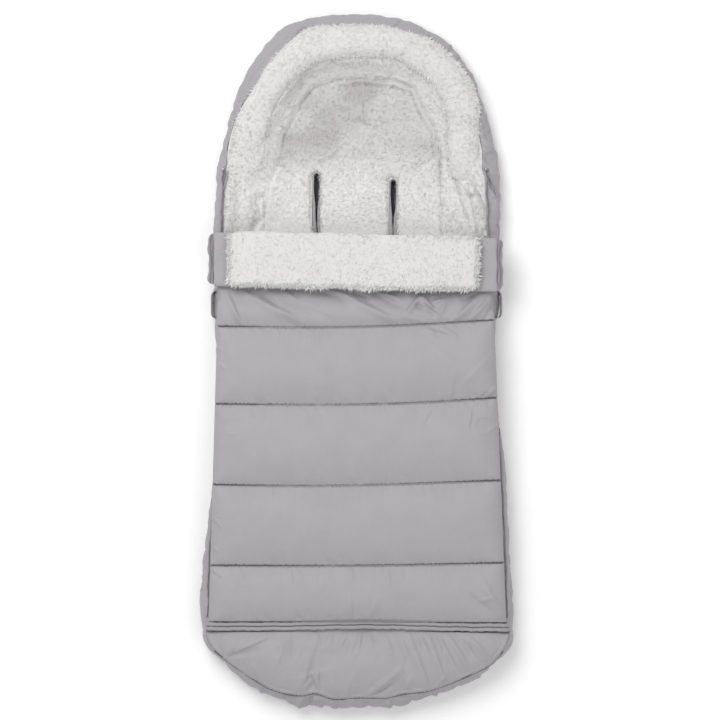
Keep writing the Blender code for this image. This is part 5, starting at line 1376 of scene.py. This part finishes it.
PLACKETS = {LEFT: [(217.6, 462), (214.4, 486), (211.2, 512), (208.6, 536), (207, 560), (206, 585), (206.4, 606),
                   (206.6, 617)],
            RIGHT: [(499.4, 428), (501.4, 450), (503.6, 478), (505.2, 505), (506.4, 532), (507.6, 560), (508.4, 590),
                    (508.2, 606), (508.2, 618)]}


def build_placket(side, word):
    """The narrow folded strip of shell cloth outside the zip, along the lower half of each side."""
    path = open_curve(from_photo(PLACKETS[side]), 120, 0.006)
    rows = []
    for i, (x, y) in enumerate(path):
        end = min(i, len(path) - 1 - i) / 14
        half = 0.0031 * min(1, 0.25 + 0.75 * end)
        sway = 0.0005 * math.sin(y * 120) + 0.0003 * math.sin(y * 410)
        place = x + sway
        crest = RIM_Z + 0.0050 * (1 - smooth(y, -0.36, -0.333))
        ring = []
        for turn in full_turn(12):
            across = half * squared(math.cos(turn), 0.8)
            ring.append((place + across, y, crest - 0.0008 + side * -0.3 * across + 0.0018 * math.sin(turn)))
        rows.append(ring)
    closed_piece(f"zip_placket_{word}", rows, SHELL, "shell", body="back")


NECK_HEMS = {LEFT: [(227.6, 171), (225.6, 181), (221.2, 193), (221.8, 205), (219.6, 217), (220.2, 228),
                    (218.6, 240)],
             RIGHT: [(482.5, 168), (487, 173), (492, 180), (496.3, 188), (497.2, 197), (495.4, 207), (496.4, 217),
                     (499, 227), (499.2, 240)]}


def build_neck_hem(side, word):
    """The loose, wavy hem of the side's gusset, outside the open zip by the child's shoulder."""
    path = open_curve(from_photo(NECK_HEMS[side]), 90, 0.003)
    half = outline[outline[:, 0] * side > 0]
    rows = []
    for i, (x, y) in enumerate(path):
        end = min(i, len(path) - 1 - i) / 10
        size = min(1, 0.3 + 0.7 * end)
        rim_x, out_x = edge_x(side, y), half[np.abs(half[:, 1] - y).argmin(), 0]
        share = min(max((x - rim_x) / (out_x - rim_x), 0), 0.9)
        wall_z = RIM_Z - 0.0222 * (1 - (1 - share) ** 0.59)
        lift = wall_z - 0.0460 + 0.0008 * math.sin(i * 0.31)
        rows.append([(x + 0.0021 * size * math.cos(turn), y, 0.0458 + lift + 0.0034 * size * math.sin(turn)
                      - side * 0.5 * 0.0021 * size * math.cos(turn))
                     for turn in full_turn(12)])
    closed_piece(f"neck_hem_{word}", rows, SHELL_TURNED_SHADED, "shell", body="back")


def build_seam_cord(name, path, z, body):
    """A line of stitching pulled into a seam, which shows as a thin dark line between the two cloths, its dark grey
    partly painted shade of the seam's groove.
    """
    rows, radius = [], 0.00055
    along = unit(np.gradient(path, axis=0))
    for i, (x, y) in enumerate(path):
        sink = 0.0005 * math.sin(i * 1.9) + 0.0004 * math.sin(i * 0.37)
        rows.append([(x - along[i][1] * radius * 1.5 * math.cos(turn),
                      y + along[i][0] * radius * 1.5 * math.cos(turn),
                      z[i] + sink + radius * math.sin(turn)) for turn in full_turn(7)])
    closed_piece(name, rows, STITCH_AND_SEAM_SHADE, "shell", body=body)


def build_hardware():
    """Sliders, pull tabs, stops, webbing loops, plackets, neck hems, mat and wadding."""
    for side, word in SIDES:
        refine(f"side_slider_{word}", SLIDER, "metal", f"side_slider_{word}", 0.00025)
        refine(f"zip_pull_{word}", SLIDER, "metal", f"zip_pull_{word}", 0.0003)
        refine(f"side_zip_bottom_stop_{word}", SLIDER, "metal", "back", 0.0004)
        refine(f"side_zip_top_stop_{word}", SLIDER, "metal", "back", 0.0004)
        refine(f"foot_zip_stop_{word}", SLIDER, "metal", "back", 0.0003)
        build_loop(side, word)
    for side, word in SIDES:
        build_placket(side, word)
        build_neck_hem(side, word)
    refine("foot_slider", SLIDER, "metal", "foot_slider", 0.0002)
    refine("grip_mat", RUBBER, "mat", "back", 0.0003)
    refine("back_batting", WADDING, "batting", "back", 0.002)
    refine("hood_batting", WADDING, "batting", "hood", 0.002)


def build_slots():
    """Bound slots for the harness and crotch straps: a light rolled edge over dark walls, which with a dark sheet at
    their foot are painted shade down in the slot.
    """
    for name in SLOTS:
        upright = SLOTS[name][3]
        shift = 0.0008 if upright else 0
        lip = [(0.0070, 0.0064, 0.0212), (0.0073, 0.0066, 0.0238), (0.0066, 0.0056, 0.0252),
               (0.0054, 0.0030, 0.0256), (0.0044, 0.0011, 0.0250), (0.0040, 0.0007, 0.0238),
               (0.0040, 0.0006, 0.0216)]
        rows = [slot_ring(name, head, tail, z, shift=shift * (k > 2)) for k, (head, tail, z) in enumerate(lip)]
        edge = shape_grid(f"{name}_edge", rows, wrap=True)
        points = points_of(edge)
        uneven = 0.0004 * swell(points, 0.004, 71) + 0.0004 * swell(points, 0.014, 72)
        points += normals_of(edge) * uneven[:, None]
        set_points(edge, points)
        finish_piece(edge, BINDING, "trim", body="back")
        # The walls take the dark copy: painted shade.
        walls = [(0.0041, 0.0008, 0.0240), (0.0040, 0.0012, 0.018), (0.0038, 0.0020, 0.009),
                 (0.0038, 0.003, 0.0012)]
        rows = [slot_ring(name, head, tail, z, shift=shift) for head, tail, z in walls]
        inside = shape_grid(f"{name}_walls", rows, wrap=True)
        node = name.replace("slot", "slot_binding") if upright else "crotch_slot_binding"
        finish_piece(inside, SLOT_PAINTED_SHADE, "trim", body="back", replaces=(node,))
        # A dark sheet down at the foot of the walls, where there is only shade: painted shade.
        rows = [slot_ring(name, head, tail, 0.0040) for head, tail in ((0.0001, 0.0001), (0.0042, 0.0030))]
        floor = shape_grid(f"{name}_shade", rows, wrap=True)
        finish_piece(floor, SLOT_PAINTED_SHADE, "trim", body="back")


def build_foot_zip():
    """Two rolled lips over the foot zip, and the two rows of its teeth on their tapes."""
    lips = (("foot_zip_lip_upper", -0.3800, 1, "back", "foot_zip_upper_welt"),
            ("foot_zip_lip_lower", -0.3869, -1, "foot_flap", "foot_zip_lower_welt"))
    for name, middle, way, body, node in lips:
        low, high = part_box(node)
        rows = []
        for x in np.linspace(low.x - 0.0075, high.x + 0.0095, 186):
            over = max(0, low.x + 0.002 - x, x - high.x + 0.002)
            size = math.sqrt(max(0.1, 1 - max(0, over / 0.0118) ** 4))
            fall = 0.010 * (over / 0.0105) ** 2
            bow = float(lip_bow(x)) * 0.8 + 0.0003 * math.sin(x * 140) + 0.0002 * math.sin(x * 411)
            torn = 0.00035 * math.sin(x * 1130 + 3 * math.sin(x * 61)) + 0.0003 * math.sin(x * 470)
            ring = []
            for turn in full_turn(16):
                wide, tall = squared(math.cos(turn), 0.7), squared(math.sin(turn), 0.7)
                half = 0.00255 + torn if wide * way > 0 else 0.0031
                ring.append((x, middle + bow + half * wide * size,
                             0.0610 - fall + 0.0022 * tall * size + 0.0003 * math.sin(x * 77)))
            rows.append(ring)
        closed_piece(name, rows, SHELL_TURNED_SHADED, "shell", body=body, replaces=(node,))
    for node, body in (("foot_zip_upper_coil", "back"), ("foot_zip_lower_coil", "foot_flap")):
        low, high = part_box(node)
        middle = (low + high) / 2
        spots = [(x, middle.y, middle.z) for x in np.arange(low.x + 0.001, high.x - 0.001, TOOTH_PITCH)]
        teeth(f"{node}_teeth", spots, (1, 0, 0), (0, 1, 0), body, TOOTH_SIZE, replaces=(node,))
        rows = []
        sign = 1 if body == "back" else -1
        for x in np.linspace(low.x, high.x, 60):
            line = [(0.0006, 0.0), (0.0045, 0.0004), (0.0045, 0.0012), (0.0006, 0.0008)]
            rows.append([(x, middle.y + sign * y, middle.z + z) for y, z in line])
        closed_piece(f"{node}_tape", rows, TAPE, "trim", body=body)


TOE_FOLDS = [
    (236, 640, 228, 656, 20, 60), (275, 633, 232, 652, 22, 50), (262, 650, 230, 656, -18, 40),
    (283, 640, 275, 670, 14, 70), (300, 634, 292, 660, -10, 60), (318, 633, 300, 690, 12, 70),
    (328, 632, 322, 645, -16, 40), (347, 632, 341, 645, 14, 40), (362, 628, 357, 652, 24, 40),
    (356, 640, 348, 655, -14, 50), (372, 630, 378, 645, -12, 40), (385, 632, 392, 655, 14, 50),
    (399, 632, 410, 662, -14, 40), (408, 632, 430, 690, 20, 50), (420, 634, 428, 652, -16, 40),
    (428, 634, 446, 684, 22, 50), (438, 634, 458, 672, -18, 40), (448, 634, 470, 668, 22, 40),
    (458, 634, 480, 662, -16, 40), (466, 634, 490, 656, 18, 40), (310, 672, 315, 690, -24, 40),
    (318, 668, 318, 690, 20, 40), (300, 678, 330, 668, 18, 60), (305, 688, 314, 676, 16, 40),
    (330, 676, 336, 694, 12, 50), (368, 694, 400, 668, 30, 50), (372, 696, 392, 684, -24, 30),
    (344, 695, 362, 660, 12, 80), (436, 686, 444, 676, 18, 30), (300, 650, 345, 655, -12, 120),
    (250, 660, 262, 680, 10, 60), (404, 690, 410, 676, 14, 40)]


def foot_seam(count):
    """The curved seam round the foot, between the panel and the wall."""
    return open_curve(from_photo(FOOT_SEAM_PX[1:-1]), count, 0.006)


def foot_outline(inset):
    """The foot panel's cut: the gently bowed line below the zip, and the curved seam."""
    seam = foot_seam(150)
    left, right = seam[0], seam[-1]
    top = [(x, FLAP_START_Y + float(lip_bow(x)) * 0.8 - 0.0004)
           for x in np.linspace(right[0] - 0.0005, left[0] + 0.0005, 90)]
    line = closed_curve(np.vstack([seam, top]), 420, 0.0008)
    if inset:
        line = line + inward_of(line) * inset
    return line


def build_foot():
    """The padded foot panel below the zip: puckered at its seams, sagging in the middle."""
    cut = foot_outline(0)
    panel = cut_sheet("foot_panel", cut, 0.0025)
    points = points_of(panel)
    gap = inside_distance(points[:, :2], cut)
    gap = np.maximum(gap, 0)
    x, y = points[:, 0], points[:, 1]
    down = FLAP_START_Y - y
    seam_gap = line_distance(points[:, :2], foot_seam(150))
    fill = 1 - np.exp(-seam_gap / 0.012)
    z = 0.0530 + 0.0078 * fill + 0.0020 * smooth(seam_gap, 0.004, 0.05)
    z -= 0.0030 * np.exp(-down / 0.0024)
    around = np.arctan2(-(y - HINGE_Y), x)
    polar = np.column_stack([around * 0.17, down * 0.25, np.zeros(len(x))])
    z += 0.0014 * swell(polar, 0.009, 51) * np.exp(-seam_gap / 0.014) * (1 - np.exp(-seam_gap / 0.003))
    lengthwise = np.column_stack([x, y * 0.22, np.zeros(len(x))])
    z += 0.0012 * swell(lengthwise, 0.010, 52) * np.exp(-down / 0.026) * (1 - np.exp(-down / 0.003))
    z += 0.0016 * swell(points, 0.05, 53) - 0.0018 * (1 - smooth(down, 0.016, 0.045))
    points[:, 2] = z
    set_points(panel, points)
    settle(panel, gap < 0.0008, 0.014, 0.045, 90, 0.0050, 14)
    subdivide(panel)
    points = points_of(panel)
    gap = np.maximum(inside_distance(points[:, :2], cut), 0)
    points[:, 2] += 1.5 * creases(points, TOE_FOLDS, 0.68) * (1 - np.exp(-gap / 0.003))
    dent = np.hypot(*(points[:, :2] - from_photo([(319, 671)])[0]).T)
    points[:, 2] -= 0.0042 * np.exp(-(dent / 0.020) ** 2)
    points[:, 2] = np.clip(points[:, 2], 0.0500 + 0.0063 * smooth(gap, 0.0004, 0.0030),
                           0.0662 + 0.0028 * smooth(FLAP_START_Y - points[:, 1], 0.025, 0.045))
    set_points(panel, points)
    skirt(panel, 0.0030)
    finish_piece(panel, SHELL, "shell", blend=FLAP_BEND, replaces=("toe_panel", "foot_flap"))
    seam = foot_seam(280)
    seam = seam[seam[:, 1] < -0.4185]
    uneven = 0.0007 * swell(np.column_stack([seam, seam[:, :1] * 0]), 0.02, 55)
    build_seam_cord("foot_seam_thread", seam, 0.0528 + uneven, "back")
    lining = cut_sheet("foot_panel_sherpa", foot_outline(0.0062), 0.0042)
    points = points_of(lining)
    points[:, 2] = 0.0560
    points[:, 2] -= 0.0016 + pile(points, 0.8, 11)
    set_points(lining, points)
    flip(lining)
    finish_piece(lining, SHERPA_INSIDE, "sherpa", blend=FLAP_BEND, replaces=("toe_lining", "foot_flap_lining"))


def skirt(piece, depth):
    """Turns a sheet's cut edge down and under, as a hem."""
    bm = bmesh.new()
    bm.from_mesh(piece.data)
    rim_edges = [e for e in bm.edges if e.is_boundary]
    made = bmesh.ops.extrude_edge_only(bm, edges=rim_edges)
    fresh = [v for v in made["geom"] if isinstance(v, bmesh.types.BMVert)]
    for vertex in fresh:
        vertex.co.z -= depth
    bmesh.ops.recalc_face_normals(bm, faces=bm.faces)
    if sum(f.normal.z for f in bm.faces) < 0:
        bmesh.ops.reverse_faces(bm, faces=bm.faces)
    bm.to_mesh(piece.data)
    bm.free()
    piece.data.shade_smooth()


def build_stage():
    """A plain white floor, a soft even light from all round with more from above, and a camera overhead."""
    clear_selection()
    bpy.ops.mesh.primitive_plane_add(size=12, location=(0, 0, -0.0002))
    floor = bpy.context.object
    floor.name = "studio_floor"
    material, _, shader = new_material("white_paper", Roughness=0.9)
    shader.inputs["Base Color"].default_value = colour("#fbfbfb")
    shader.inputs["Specular IOR Level"].default_value = 0.1
    floor.data.materials.append(material)
    world = bpy.data.worlds.new("studio")
    world.use_nodes = True
    world.node_tree.nodes["Background"].inputs["Color"].default_value = (1, 1, 1, 1)
    world.node_tree.nodes["Background"].inputs["Strength"].default_value = 0.60
    bpy.context.scene.world = world
    for name, place, size, power in (("key", (-0.75, 1.05, 2.4), 1.6, 40), ("fill", (0.8, -1.0, 2.5), 1.6, 11)):
        light = bpy.data.lights.new(name, "AREA")
        light.shape, light.size, light.energy = "DISK", size, power
        lamp = bpy.data.objects.new(name, light)
        lamp.location = place
        lamp.rotation_euler = (Vector((0, 0, 0)) - Vector(place)).to_track_quat("-Z", "Y").to_euler()
        bpy.context.scene.collection.objects.link(lamp)
    camera = bpy.data.cameras.new("overhead_camera")
    camera.lens_unit = "FOV"
    height = 5.0
    camera.angle = 2 * math.atan(360 * PX / (height - 0.05))
    camera.clip_end = 30
    view = bpy.data.objects.new("overhead_camera", camera)
    view.location = ((360 - 357.5) * PX, 0, height)
    bpy.context.scene.collection.objects.link(view)
    bpy.context.scene.camera = view
    bpy.context.scene.view_settings.view_transform = "Standard"


build_shell()
build_lining()
build_roll()
build_cover()
build_cuff()
for zip_side, zip_word in SIDES:
    build_side_zip(zip_side, zip_word)
build_slots()
build_foot_zip()
build_foot()
build_hardware()
build_stage()
